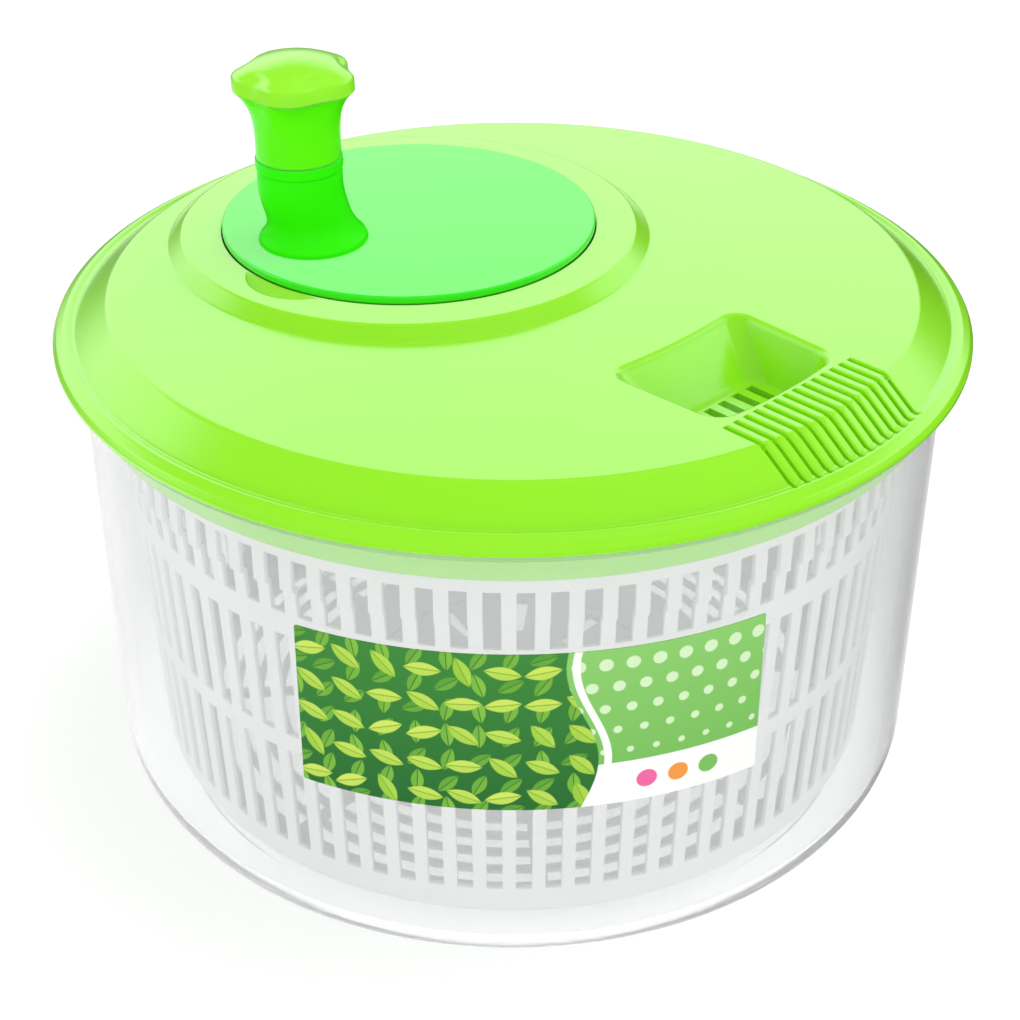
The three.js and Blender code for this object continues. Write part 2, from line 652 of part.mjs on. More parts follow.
// One groove of the comb, as a section along the radius that is pushed through sideways. The
// radii are turned into distances along Y at the groove's own place across the lid.
function combGroove(across) {
  const along = (radius) => Math.sqrt(radius ** 2 - across ** 2);
  const combStart = lidTopRadius - COMB_REACH;
  const open = lidTopRadius;
  const shut = plugInside - 0.6;
  const end = creaseRadius - 0.3;
  const above = 1.2;
  const shape = new THREE.Shape([
    [combStart, lidTop + above],
    [combStart, lidTop - COMB_GROOVE_DEPTH],
    [along(open), lidTop - COMB_GROOVE_DEPTH],
    [along(open), skirtInside(open) - 0.6],
    [along(shut), skirtInside(shut) - 0.6],
    [along(shut), skirtOutside(shut) - COMB_GROOVE_DEPTH],
    [along(end), skirtOutside(end) - COMB_GROOVE_DEPTH / 3],
    [along(end) + 0.8, skirtOutside(end) + above],
    [along(open) + above, lidTop + above],
  ].map(([distance, height]) => new THREE.Vector2(distance, height)));
  const turn = new THREE.Matrix4().makeBasis(
    new THREE.Vector3(0, -1, 0),
    new THREE.Vector3(0, 0, 1),
    new THREE.Vector3(-1, 0, 0),
  );
  const groove = extrude(shape, 0, COMB_GROOVE_WIDTH);
  return groove.applyMatrix4(turn).translate(across + COMB_GROOVE_WIDTH / 2, 0, 0);
}

function makeComb() {
  const grooves = [];
  for (let i = 0; i < COMB_GROOVES; i += 1) {
    grooves.push(combGroove((i - (COMB_GROOVES - 1) / 2) * COMB_PITCH));
  }
  return solid(mergeGeometries(grooves));
}

function makeNotch() {
  const shape = ringSector(wellRadius - 1, wellRadius + NOTCH_WIDTH, NOTCH_FROM, NOTCH_TO);
  return solid(extrude(shape, bossTop - NOTCH_DEPTH, bossTop + 1, 5).translate(0, crankOffset, 0));
}

function makeLid() {
  const opening = solid(cylinder(
    bossRadius + BOSS_SPREAD / 2, lidTop - 2 * LID_WALL, lidTop + 1, MEDIUM, 0, crankOffset,
  ));
  const funnelFloor = lidTop - FUNNEL_DEPTH;
  const posts = coverScrewPlaces().map(([x, y]) => solid(cylinder(
    SCREW_POST_RADIUS, coverFloorTop + SEAT_GAP, bossUnderside + LID_WALL / 2, TINY, x, y,
  )));
  const pilots = coverScrewPlaces().map(([x, y]) => solid(cylinder(
    SCREW_SHANK + SHAFT_GAP, coverFloorTop - 1, bossUnderside - 2, TINY, x, y,
  )));
  const turned = (shape) => shape.rotate([0, 0, FUNNEL_TURN]);
  const whole = join(
    cut(makeLidShell(), opening),
    makeBoss(),
    turned(funnelWell(LID_WALL, funnelFloor - LID_WALL, lidTop - LID_WALL / 2)),
    ...posts,
  );
  return cut(
    whole,
    turned(funnelWell(0, funnelFloor, lidTop + 1)),
    turned(makeFunnelSlots()),
    turned(makeComb()),
    makeNotch(),
    ...pilots,
  );
}

// Pan that closes the gear space from below and carries both bushes.
function makeGearCover() {
  const inside = coverRadius - COVER_WALL;
  const rim = bossUnderside - SEAT_GAP;
  const pan = solid(revolve([
    [0, coverBottom],
    [coverRadius - COVER_WALL, coverBottom],
    [coverRadius, coverBottom + COVER_WALL],
    [coverRadius, rim],
    [inside, rim],
    [inside, coverFloorTop],
    [0, coverFloorTop],
  ], MEDIUM, 0, crankOffset));
  const bore = (radius, x, y) => solid(cylinder(
    radius, coverBottom - 1, coverFloorTop + 1, SMALL, x, y,
  ));
  const screwHoles = coverScrewPlaces().map(([x, y]) => bore(SCREW_SHANK + 2 * SHAFT_GAP, x, y));
  return cut(
    pan,
    bore(CRANK_JOURNAL + SHAFT_GAP + BUSH_WALL + SHAFT_GAP, 0, crankOffset),
    bore(PINION_JOURNAL + SHAFT_GAP + BUSH_WALL + SHAFT_GAP, 0, 0),
    ...screwHoles,
  );
}

// Flanged plain bush for a journal of the given radius, pushed into the cover from above.
function makeBush(journal, y) {
  const bore = journal + SHAFT_GAP;
  const outside = bore + BUSH_WALL;
  return solid(revolveLoop([
    [bore, bushBottom],
    [outside, bushBottom],
    [outside, coverFloorTop + SEAT_GAP],
    [outside + BUSH_FLANGE_WIDTH, coverFloorTop + SEAT_GAP],
    [outside + BUSH_FLANGE_WIDTH, bushTop],
    [bore, bushTop],
  ], SMALL, 0, y));
}

// Pan-head screw standing on its head at the origin, with its shank upwards.
function makeScrew(length) {
  return solid(revolve([
    [0, -SCREW_HEAD_HEIGHT],
    [SCREW_HEAD * 0.7, -SCREW_HEAD_HEIGHT],
    [SCREW_HEAD, -SCREW_HEAD_HEIGHT * 0.4],
    [SCREW_HEAD, 0],
    [SCREW_SHANK, 0],
    [SCREW_SHANK, length - SCREW_SHANK],
    [0, length],
  ], TINY));
}

function makeWasher(y, top, radius) {
  const bore = SCREW_SHANK + SHAFT_GAP;
  return solid(tube(bore, radius, top - WASHER_THICKNESS, top, SMALL, 0, y));
}

// ---------------------------------------------------------------- crank

function ringGearShape() {
  const space = gearOutline({
    teeth: RING_TEETH,
    tip: ringPitchRadius + DEDENDUM * GEAR_MODULE,
    root: ringInside,
    thickness: toothThickness + BACKLASH / 2,
    flankSteps: 1,
  });
  const shape = new THREE.Shape();
  shape.absarc(0, 0, ringRadius, 0, 2 * Math.PI, false);
  shape.holes.push(space);
  return shape;
}

function pegPlaces() {
  const orbit = ringInside - RING_FLANGE_WIDTH / 3;
  return Array.from({ length: PEGS_ROUND }, (_, i) => {
    const angle = KNOB_ANGLE + (i + 0.5) * 2 * Math.PI / PEGS_ROUND;
    return [orbit * Math.cos(angle), crankOffset + orbit * Math.sin(angle)];
  });
}

function makeRingGear() {
  const toothed = extrude(ringGearShape(), ringTop - RING_HEIGHT, ringFlangeBottom + 0.5, 16);
  const flangeInside = ringRadius - RING_FLANGE_WIDTH;
  const flange = tube(flangeInside, ringRadius, ringFlangeBottom, ringTop, FINE, 0, crankOffset);
  const holes = pegPlaces().map(([x, y]) => solid(cylinder(
    PEG_RADIUS + SHAFT_GAP, ringFlangeBottom - 1, ringTop + 1, TINY, x, y,
  )));
  return cut(join(solid(toothed.translate(0, crankOffset, 0)), solid(flange)), ...holes);
}

// The post leans over half way up: its foot lies nearer the disc's centre than its top.
function leanPost(geometry) {
  return eachVertex(geometry, (point) => {
    const down = (postTop - point.z) / POST_HEIGHT;
    const shift = -POST_LEAN * THREE.MathUtils.smoothstep(down, 0.3, 0.95);
    point.x += shift * Math.cos(KNOB_ANGLE);
    point.y += shift * Math.sin(KNOB_ANGLE);
  });
}

const knobX = knobOrbit * Math.cos(KNOB_ANGLE);
const knobY = crankOffset + knobOrbit * Math.sin(KNOB_ANGLE);

function postProfile(shrink, bottom, top) {
  const flareBottom = discTop + POST_FOOT_HEIGHT;
  const radiusAt = (height) => {
    const up = Math.max(0, height - flareBottom) / POST_FLARE;
    const flare = (POST_FOOT_RADIUS - POST_RADIUS) * Math.max(0, 1 - up) ** 2;
    return POST_RADIUS + flare - shrink;
  };
  const flareHeights = [0, 0.12, 0.3, 0.6, 1].map((up) => flareBottom + up * POST_FLARE);
  const leanHeights = [0.5, 0.65, 0.8].map((up) => discTop + up * POST_HEIGHT);
  const heights = [...flareHeights, ...leanHeights];
  const between = heights.filter((height) => height > bottom && height < top);
  return [
    [0, bottom],
    [radiusAt(bottom), bottom],
    ...between.map((height) => [radiusAt(height), height]),
    [radiusAt(top), top],
    [0, top],
  ];
}

function makeCrankDisc() {
  const edge = 0.5;
  const disc = solid(revolve([
    [0, discBottom],
    [discRadius - edge, discBottom],
    [discRadius, discBottom + edge],
    [discRadius, discTop - edge],
    [discRadius - edge, discTop],
    [0, discTop],
  ], MEDIUM, 0, crankOffset));
  const hub = solid(revolve([
    [0, shaftShoulder],
    [CRANK_JOURNAL, shaftShoulder],
    [CRANK_JOURNAL, bushTop + SEAT_GAP],
    [HUB_RADIUS, bushTop + SEAT_GAP],
    [HUB_RADIUS, discBottom + DISC_THICKNESS / 2],
    [0, discBottom + DISC_THICKNESS / 2],
  ], SMALL, 0, crankOffset));
  const post = solid(leanPost(revolve(postProfile(0, discTop - 0.5, postTop), 28, knobX, knobY)));
  const hollowTop = postTop - POST_WALL;
  const hollow = solid(leanPost(
    revolve(postProfile(POST_WALL, discBottom - 1, hollowTop), SMALL, knobX, knobY),
  ));
  const spigot = solid(cylinder(SPIGOT_RADIUS, postTop - POST_WALL, spigotTop, SMALL, knobX, knobY));
  const pegs = pegPlaces().map(([x, y]) => solid(cylinder(
    PEG_RADIUS, ringFlangeBottom - PINION_TOP_GAP / 4, discBottom + 0.5, TINY, x, y,
  )));
  const knobPilot = solid(cylinder(
    SCREW_SHANK + SHAFT_GAP, postTop - POST_WALL + 1.5, spigotTop + 1, TINY, knobX, knobY,
  ));
  const hubPilot = solid(cylinder(
    SCREW_SHANK + SHAFT_GAP, shaftShoulder - 1, discBottom - 3, TINY, 0, crankOffset,
  ));
  return cut(join(disc, hub, post, spigot, ...pegs), hollow, knobPilot, hubPilot);
}

// ---------------------------------------------------------------- knob

// The cap and the sleeve's flared top share one lobed outline, with finger scallops between lobes.
function scallop(geometry, from, to) {
  return eachVertex(geometry, (point) => {
    const dx = point.x - knobX;
    const dy = point.y - knobY;
    const radius = Math.hypot(dx, dy);
    const rise = THREE.MathUtils.smoothstep(point.z, from, to);
    const outer = THREE.MathUtils.smoothstep(radius, SLEEVE_RADIUS - 1, CAP_RADIUS - 1);
    const between = (1 - Math.cos(CAP_LOBES * (Math.atan2(dy, dx) - KNOB_ANGLE))) / 2;
    const dip = CAP_SCALLOP * rise * outer * between ** 1.5;
    const scale = radius > 0 ? (radius - dip) / radius : 1;
    point.x = knobX + dx * scale;
    point.y = knobY + dy * scale;
  });
}

function makeKnobSleeve() {
  const bore = SPIGOT_RADIUS + SHAFT_GAP;
  const recess = SLEEVE_RADIUS - 0.9;
  const flare = CAP_RADIUS - 0.4 - SLEEVE_RADIUS;
  const flareAt = (up) => SLEEVE_RADIUS + flare * up ** 4;
  const steps = [0.35, 0.55, 0.7, 0.82, 0.92];
  const profile = [
    [bore, sleeveBottom],
    [SLEEVE_RADIUS, sleeveBottom],
    ...steps.map((up) => [flareAt(up), sleeveBottom + up * SLEEVE_HEIGHT]),
    [flareAt(1), sleeveTop],
    [recess, sleeveTop],
    [recess, sleeveShelf],
    [bore, sleeveShelf],
  ];
  return solid(scallop(revolveLoop(profile, 32, knobX, knobY), sleeveBottom, sleeveTop));
}

function makeKnobCap() {
  const edgeTop = capBottom + CAP_EDGE;
  const plug = SLEEVE_RADIUS - 0.9 - SHAFT_GAP;
  const domeSteps = [0.25, 0.5, 0.75];
  const dome = domeSteps.map((share) => (
    [(CAP_RADIUS - 0.7) * (1 - share), edgeTop + 0.7 + CAP_DOME * (1 - (1 - share) ** 2)]
  ));
  const profile = [
    [0, capBottom],
    [plug - CAP_WALL, capBottom],
    [plug - CAP_WALL, capBottom - SLEEVE_SHELF / 2],
    [plug, capBottom - SLEEVE_SHELF / 2],
    [plug, capBottom],
    [CAP_RADIUS - 0.4, capBottom],
    [CAP_RADIUS, capBottom + 0.6],
    [CAP_RADIUS, edgeTop],
    [CAP_RADIUS - 0.7, edgeTop + 0.7],
    ...dome,
    [0, edgeTop + 0.7 + CAP_DOME],
  ];
  return solid(scallop(revolve(profile, 32, knobX, knobY), sleeveBottom, sleeveTop));
}

// ---------------------------------------------------------------- drive

function makePinion() {
  const teeth = extrude(gearOutline({
    teeth: PINION_TEETH,
    tip: pinionPitchRadius + PINION_ADDENDUM * GEAR_MODULE,
    root: pinionPitchRadius - DEDENDUM * GEAR_MODULE,
    thickness: toothThickness - BACKLASH / 2,
    flankSteps: 3,
  }), pinionBottom, pinionTop);
  const journal = cylinder(PINION_JOURNAL, shaftShoulder, pinionBottom + 1, SMALL);
  const shaftEnd = driveHubBottom + DRIVE_HUB_LENGTH / 5;
  const hexagon = cylinder(PINION_JOURNAL, shaftEnd, shaftShoulder + 1, 6);
  const pilot = cylinder(SCREW_SHANK + SHAFT_GAP, shaftEnd - 1, pinionBottom, TINY);
  return cut(join(solid(teeth), solid(journal), solid(hexagon)), solid(pilot));
}

function makeDrivePlate() {
  const bottom = drivePlateTop - DRIVE_PLATE;
  const edge = basketInside - DRIVE_EDGE_GAP;
  const rimOuter = edge - DRIVE_EDGE;
  const rimInner = rimOuter - DRIVE_RIM;
  const shaftEnd = driveHubBottom + DRIVE_HUB_LENGTH / 5;
  const plate = solid(revolve([
    [0, bottom],
    [rimInner, bottom],
    [rimInner, bottom - DRIVE_RIM_DEPTH],
    [rimOuter, bottom - DRIVE_RIM_DEPTH],
    [rimOuter, bottom],
    [edge, bottom],
    [edge, drivePlateTop],
    [0, drivePlateTop],
  ], FINE));
  const hub = solid(revolve([
    [0, driveHubBottom],
    [DRIVE_HUB_RADIUS - 1, driveHubBottom],
    [DRIVE_HUB_RADIUS, bottom],
    [DRIVE_HUB_RADIUS, drivePlateTop + 1],
    [DRIVE_HUB_RADIUS - 1.5, shaftShoulder - SEAT_GAP],
    [0, shaftShoulder - SEAT_GAP],
  ], SMALL));
  const socket = solid(cylinder(
    PINION_JOURNAL + SHAFT_GAP, shaftEnd - SEAT_GAP, shaftShoulder + 1, 6,
  ));
  const screwHole = solid(cylinder(SCREW_SHANK + SHAFT_GAP, driveHubBottom - 1, shaftEnd, TINY));
  const keyways = solid(boxesRound(KEYS_ROUND, {
    width: KEY_WIDTH + 2 * KEYWAY_GAP,
    from: basketInside - KEY_DEPTH - KEYWAY_GAP,
    to: basketInside + 1,
    bottom: bottom - 1,
    top: drivePlateTop + 1,
  }));
  const slots = [
    [OUTER_DRIVE_SLOTS, OUTER_DRIVE_SLOT_START, rimInner - OUTER_DRIVE_SLOT_MARGIN],
    [INNER_DRIVE_SLOTS, INNER_DRIVE_SLOT_START, INNER_DRIVE_SLOT_END],
  ].map(([count, from, to]) => (
    solid(boxesRound(count, {
      width: DRIVE_SLOT_WIDTH,
      from,
      to,
      bottom: bottom - 1,
      top: drivePlateTop + 1,
    }))
  ));
  return cut(join(plate, hub), socket, screwHole, keyways, ...slots);
}

// ---------------------------------------------------------------- finishes

function finish(color, roughness, metalness = 0, opacity = 1) {
  const transparent = opacity < 1;
  return new THREE.MeshStandardMaterial({ color, roughness, metalness, opacity, transparent });
}

const clearPlastic = finish(0xe9eeee, 0.18, 0, 0.35);
const whitePlastic = finish(0xf3f4f2, 0.35);
const limePlastic = finish(0x9ff03c, 0.3);
const limeCapPlastic = finish(0xb2f45c, 0.3);
const mintPlastic = finish(0x62f35a, 0.15, 0, 0.85);
const gearPlastic = finish(0xeeece4, 0.45);
const labelFilm = finish(0x79c158, 0.35);
const steel = finish(0xb9bcc0, 0.3, 1);

// ---------------------------------------------------------------- assembly

const group = new THREE.Group();

function add(name, shape, material, parent = group) {
  const { vertProperties, triVerts } = shape.getMesh();
  const geometry = new THREE.BufferGeometry();
  geometry.setAttribute('position', new THREE.BufferAttribute(new Float32Array(vertProperties), 3));
  geometry.setIndex(new THREE.BufferAttribute(new Uint32Array(triVerts), 1));
  geometry.computeVertexNormals();
  const mesh = new THREE.Mesh(geometry, material);
  mesh.name = name;
  parent.add(mesh);
  return mesh;
}

function subassembly() {
  const child = new THREE.Group();
  group.add(child);
  return child;
}

const vessel = subassembly();
add('bowl', makeBowl(), clearPlastic, vessel);
add('label_sticker', makeLabel(), labelFilm, vessel);
add('basket', makeBasket(), whitePlastic);

const lid = subassembly();
add('lid', makeLid(), limePlastic, lid);
add('gear_cover', makeGearCover(), whitePlastic, lid);
add('crank_bush', makeBush(CRANK_JOURNAL, crankOffset), gearPlastic, lid);
add('pinion_bush', makeBush(PINION_JOURNAL, 0), gearPlastic, lid);
coverScrewPlaces().forEach(([x, y], i) => {
  const screw = add(`cover_screw_${i + 1}`, makeScrew(COVER_SCREW_LENGTH), steel, lid);
  screw.position.set(x, y, coverBottom - SEAT_GAP);
});

const crank = subassembly();
const crankWasherTop = shaftShoulder - SEAT_GAP;
const crankWasherRadius = CRANK_JOURNAL + SHAFT_GAP + BUSH_WALL + WASHER_OVERLAP;
const crankScrewSeat = crankWasherTop - WASHER_THICKNESS - SEAT_GAP;
add('crank_disc', makeCrankDisc(), mintPlastic, crank);
add('ring_gear', makeRingGear(), gearPlastic, crank);
add(
  'crank_washer',
  makeWasher(crankOffset, crankWasherTop, crankWasherRadius),
  steel,
  crank,
);
add('crank_screw', makeScrew(SHAFT_SCREW_LENGTH), steel, crank).position.set(0, crankOffset, crankScrewSeat);

const knobWasherTop = spigotTop + SEAT_GAP + WASHER_THICKNESS;
const knobWasher = add(
  'knob_washer',
  makeWasher(0, 0, SPIGOT_RADIUS + WASHER_OVERLAP),
  steel,
  crank,
);
knobWasher.position.set(knobX, knobY, knobWasherTop);
const knobScrew = add('knob_screw', makeScrew(SHAFT_SCREW_LENGTH), steel, crank);
knobScrew.position.set(knobX, knobY, knobWasherTop + SEAT_GAP);
knobScrew.rotation.x = Math.PI;

const knob = subassembly();
add('knob_sleeve', makeKnobSleeve(), mintPlastic, knob);
add('knob_cap', makeKnobCap(), limeCapPlastic, knob);

const drive = subassembly();
const driveWasherTop = driveHubBottom - SEAT_GAP;
const driveScrewSeat = driveWasherTop - WASHER_THICKNESS - SEAT_GAP;
add('pinion', makePinion(), gearPlastic, drive);
add('drive_plate', makeDrivePlate(), whitePlastic, drive);
add(
  'drive_washer',
  makeWasher(0, driveWasherTop, PINION_JOURNAL + 2 * WASHER_OVERLAP),
  steel,
  drive,
);
add('drive_screw', makeScrew(SHAFT_SCREW_LENGTH), steel, drive).position.set(0, 0, driveScrewSeat);

export default group;
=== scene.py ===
"""Salad spinner: frosted bowl, slotted basket, and a lime lid with a geared crank disc and knob.

Sizes are in millimetres until a piece is finished, and each finished piece is in metres."""

import math
from functools import partial

import bmesh
import bpy
from mathutils import Matrix, Vector


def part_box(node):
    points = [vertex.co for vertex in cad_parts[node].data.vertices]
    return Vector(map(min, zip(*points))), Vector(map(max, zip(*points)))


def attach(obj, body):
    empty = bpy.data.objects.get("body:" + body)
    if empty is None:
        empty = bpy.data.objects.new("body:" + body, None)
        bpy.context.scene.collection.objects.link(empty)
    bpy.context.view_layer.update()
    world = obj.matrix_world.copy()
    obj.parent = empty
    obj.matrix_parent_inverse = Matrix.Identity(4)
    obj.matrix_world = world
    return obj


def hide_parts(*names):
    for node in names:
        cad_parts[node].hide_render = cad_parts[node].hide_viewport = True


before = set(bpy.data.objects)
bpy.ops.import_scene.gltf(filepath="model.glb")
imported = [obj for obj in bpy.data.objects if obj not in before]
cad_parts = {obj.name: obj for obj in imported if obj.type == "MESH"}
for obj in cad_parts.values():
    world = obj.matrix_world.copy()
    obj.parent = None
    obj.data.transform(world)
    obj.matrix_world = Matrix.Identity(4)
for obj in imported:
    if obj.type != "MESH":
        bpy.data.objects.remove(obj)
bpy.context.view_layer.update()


# ---------------------------------------------------------------------------- bowl
# One injection-moulded shell of clear, slightly frosted polypropylene. It has a stacking flange
# under the lid, a foot ring below, and a pin in the middle of its floor for the basket.

MM = 0.001
ROUND_STEPS = 192


def rounded(corners, steps=4):
    """The outline through (radius, height, fillet) corners, with every fillet drawn as an arc."""
    outline = []
    for i, (radius, height, fillet) in enumerate(corners):
        corner = Vector((radius, height))
        if not fillet:
            outline.append(corner)
            continue
        back = (Vector(corners[i - 1][:2]) - corner).normalized()
        onward = (Vector(corners[(i + 1) % len(corners)][:2]) - corner).normalized()
        half = math.acos(max(-1, min(1, back.dot(onward)))) / 2
        middle = corner + (back + onward).normalized() * fillet / math.sin(half)
        start = corner + back * fillet / math.tan(half) - middle
        cross = back.x * onward.y - back.y * onward.x
        sweep = math.copysign(math.pi - 2 * half, -cross)
        count = steps if fillet < 4 else 3 * steps
        for k in range(count + 1):
            outline.append(middle + Matrix.Rotation(sweep * k / count, 2) @ start)
    return outline


def turned(bm, outline, centre=(0, 0), steps=ROUND_STEPS):
    """Spins an outline about the vertical through centre. One that starts off the axis closes."""
    verts = [bm.verts.new((centre[0] + p[0], centre[1], p[1])) for p in outline]
    edges = [bm.edges.new(pair) for pair in zip(verts, verts[1:])]
    if outline[0][0] > 0:
        edges.append(bm.edges.new((verts[-1], verts[0])))
    bmesh.ops.spin(
        bm,
        geom=verts + edges,
        cent=(centre[0], centre[1], 0),
        axis=(0, 0, 1),
        angle=2 * math.pi,
        steps=steps,
        use_merge=True,
    )
    bmesh.ops.remove_doubles(bm, verts=bm.verts, dist=1e-4)


def finished_mesh(name, bm, crease=35):
    """A mesh object in metres, smooth apart from edges sharper than the crease angle."""
    bmesh.ops.scale(bm, vec=Vector((MM, MM, MM)), verts=bm.verts)
    bmesh.ops.dissolve_degenerate(bm, edges=bm.edges, dist=1e-7)
    bmesh.ops.recalc_face_normals(bm, faces=bm.faces)
    for face in bm.faces:
        face.smooth = True
    mesh = bpy.data.meshes.new(name)
    bm.to_mesh(mesh)
    bm.free()
    mesh.set_sharp_from_angle(angle=math.radians(crease))
    piece = bpy.data.objects.new(name, mesh)
    bpy.context.scene.collection.objects.link(piece)
    return piece


def fit(piece, body, node, material):
    """Gives a piece its material, lets it ride on a body and stand for a node."""
    piece.data.materials.append(material)
    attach(piece, body)
    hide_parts(node)


def srgb(red, green, blue):
    """A display colour from 0 to 255 as the linear colour that a shader takes."""

    def linear(value):
        value /= 255
        return value / 12.92 if value <= 0.04045 else ((value + 0.055) / 1.055) ** 2.4

    return (linear(red), linear(green), linear(blue), 1.0)


def set_inputs(node, values):
    """Sets inputs of a shader node by their labels."""
    for label, value in values.items():
        node.inputs[label].default_value = value


def moulded_surface():
    """Node group of a moulded surface: mottled colour, uneven gloss and a faint ripple."""
    group = bpy.data.node_groups.new("moulded_surface", "ShaderNodeTree")
    for direction, kind, labels in (
        ("INPUT", "Color", ("Color", "Shade")),
        ("INPUT", "Float", ("Gloss Low", "Gloss High", "Mottle Size")),
        ("OUTPUT", "Color", ("Color",)),
        ("OUTPUT", "Float", ("Roughness", "Height")),
    ):
        for label in labels:
            group.interface.new_socket(label, in_out=direction, socket_type=f"NodeSocket{kind}")
    nodes, links = group.nodes, group.links
    taken = nodes.new("NodeGroupInput")
    given = nodes.new("NodeGroupOutput")
    place = nodes.new("ShaderNodeTexCoord")
    mottle = nodes.new("ShaderNodeTexNoise")
    set_inputs(mottle, {"Detail": 3})
    ripple = nodes.new("ShaderNodeTexNoise")
    set_inputs(ripple, {"Scale": 900, "Detail": 2})
    blend = nodes.new("ShaderNodeMix")
    blend.data_type = "RGBA"
    gloss = nodes.new("ShaderNodeMapRange")
    links.new(place.outputs["Object"], mottle.inputs["Vector"])
    links.new(place.outputs["Object"], ripple.inputs["Vector"])
    links.new(taken.outputs["Mottle Size"], mottle.inputs["Scale"])
    links.new(mottle.outputs["Fac"], blend.inputs["Factor"])
    links.new(taken.outputs["Color"], blend.inputs["A"])
    links.new(taken.outputs["Shade"], blend.inputs["B"])
    links.new(blend.outputs["Result"], given.inputs["Color"])
    links.new(mottle.outputs["Fac"], gloss.inputs["Value"])
    links.new(taken.outputs["Gloss Low"], gloss.inputs["To Min"])
    links.new(taken.outputs["Gloss High"], gloss.inputs["To Max"])
    links.new(gloss.outputs["Result"], given.inputs["Roughness"])
    links.new(ripple.outputs["Fac"], given.inputs["Height"])
    return group


MOULDED = moulded_surface()


def add_skin(material, gloss, mottle, ripple, depth=0.0004):
    """Wires the moulded surface's gloss and ripple to a material, and returns its group node."""
    nodes, links = material.node_tree.nodes, material.node_tree.links
    surface = nodes["Principled BSDF"]
    skin = nodes.new("ShaderNodeGroup")
    skin.node_tree = MOULDED
    set_inputs(skin, {"Gloss Low": gloss[0], "Gloss High": gloss[1], "Mottle Size": mottle})
    bump = nodes.new("ShaderNodeBump")
    set_inputs(bump, {"Strength": ripple, "Distance": depth})
    links.new(skin.outputs["Roughness"], surface.inputs["Roughness"])
    links.new(skin.outputs["Height"], bump.inputs["Height"])
    links.new(bump.outputs["Normal"], surface.inputs["Normal"])
    return skin


def plastic(name, color, shade, gloss, mottle=22, ripple=0.02, more=None):
    """A moulded plastic: two near colours, a range of roughness, a fine skin, and more inputs."""
    material = bpy.data.materials.new(name)
    material.use_nodes = True
    surface = material.node_tree.nodes["Principled BSDF"]
    skin = add_skin(material, gloss, mottle, ripple)
    set_inputs(skin, {"Color": color, "Shade": shade})
    material.node_tree.links.new(skin.outputs["Color"], surface.inputs["Base Color"])
    set_inputs(surface, more or {})
    return material


def let_lamps_through(material, share):
    """Rays from lamps pass a clear wall straight, so that what stands inside it is lit."""
    nodes, links = material.node_tree.nodes, material.node_tree.links
    rays = nodes.new("ShaderNodeLightPath")
    straight = nodes.new("ShaderNodeBsdfTransparent")
    straight.inputs["Color"].default_value = (share, share, share, 1)
    choice = nodes.new("ShaderNodeMixShader")
    links.new(rays.outputs["Is Shadow Ray"], choice.inputs["Fac"])
    links.new(nodes["Principled BSDF"].outputs["BSDF"], choice.inputs[1])
    links.new(straight.outputs["BSDF"], choice.inputs[2])
    links.new(choice.outputs["Shader"], nodes["Material Output"].inputs["Surface"])


frosted_plastic = plastic(
    "frosted_plastic",
    srgb(234, 235, 235),
    srgb(230, 231, 231),
    gloss=(0.03, 0.05),
    ripple=0.006,
    more={"Transmission Weight": 0.8, "IOR": 1.3},
)
let_lamps_through(frosted_plastic, share=0.97)

_, bowl_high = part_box("bowl")
flange_radius = bowl_high.x / MM
lip_top = bowl_high.z / MM
FLANGE_OUT = 5
LIP = 1.6
FLANGE_THICK = 1.9
BOWL_WALL = 1.8
BOWL_TAPER = 1.6
BOWL_CORNER = 13
BOWL_FLOOR_TOP = 3
FOOT_RING = 3  # width of the ring that the bowl stands on
FOOT_HOLLOW = 0.8  # lift of the floor inside that ring
PIVOT_RADIUS = 5
PIVOT_TOP = 15.8

mouth = flange_radius - FLANGE_OUT
flange_top = lip_top - LIP
corner_radius = mouth - BOWL_TAPER
foot_inside = corner_radius - BOWL_CORNER - FOOT_RING
bowl_mesh = bmesh.new()
bowl_outline = [
    (0, FOOT_HOLLOW, 0),
    (foot_inside, FOOT_HOLLOW, 0.3),
    (foot_inside + 0.3, 0, 0.25),
    (corner_radius - 0.02, 0, BOWL_CORNER),
    (mouth, flange_top - FLANGE_THICK, 0.4),
    (flange_radius, flange_top - FLANGE_THICK, 0.5),
    (flange_radius, flange_top, 0.5),
    (mouth, flange_top, 0.3),
    (mouth, lip_top, 0.6),
    (mouth - BOWL_WALL, lip_top, 0.6),
    (corner_radius - BOWL_WALL, BOWL_FLOOR_TOP, BOWL_CORNER - BOWL_WALL),
    (PIVOT_RADIUS, BOWL_FLOOR_TOP, 2.6),
    (PIVOT_RADIUS, PIVOT_TOP, 2),
    (0, PIVOT_TOP, 0),
]
turned(bowl_mesh, rounded(bowl_outline))
bowl = finished_mesh("bowl_shell", bowl_mesh)
fit(bowl, "vessel", "bowl", frosted_plastic)
# The clear wall dims no light that the basket scatters.
bowl.visible_diffuse = False


# ---------------------------------------------------------------------------- label
# A printed film stuck round the bowl's wall. It carries a pattern of leaves on deep green beside a
# pale green panel of dots, which has a white foot with three coloured spots.

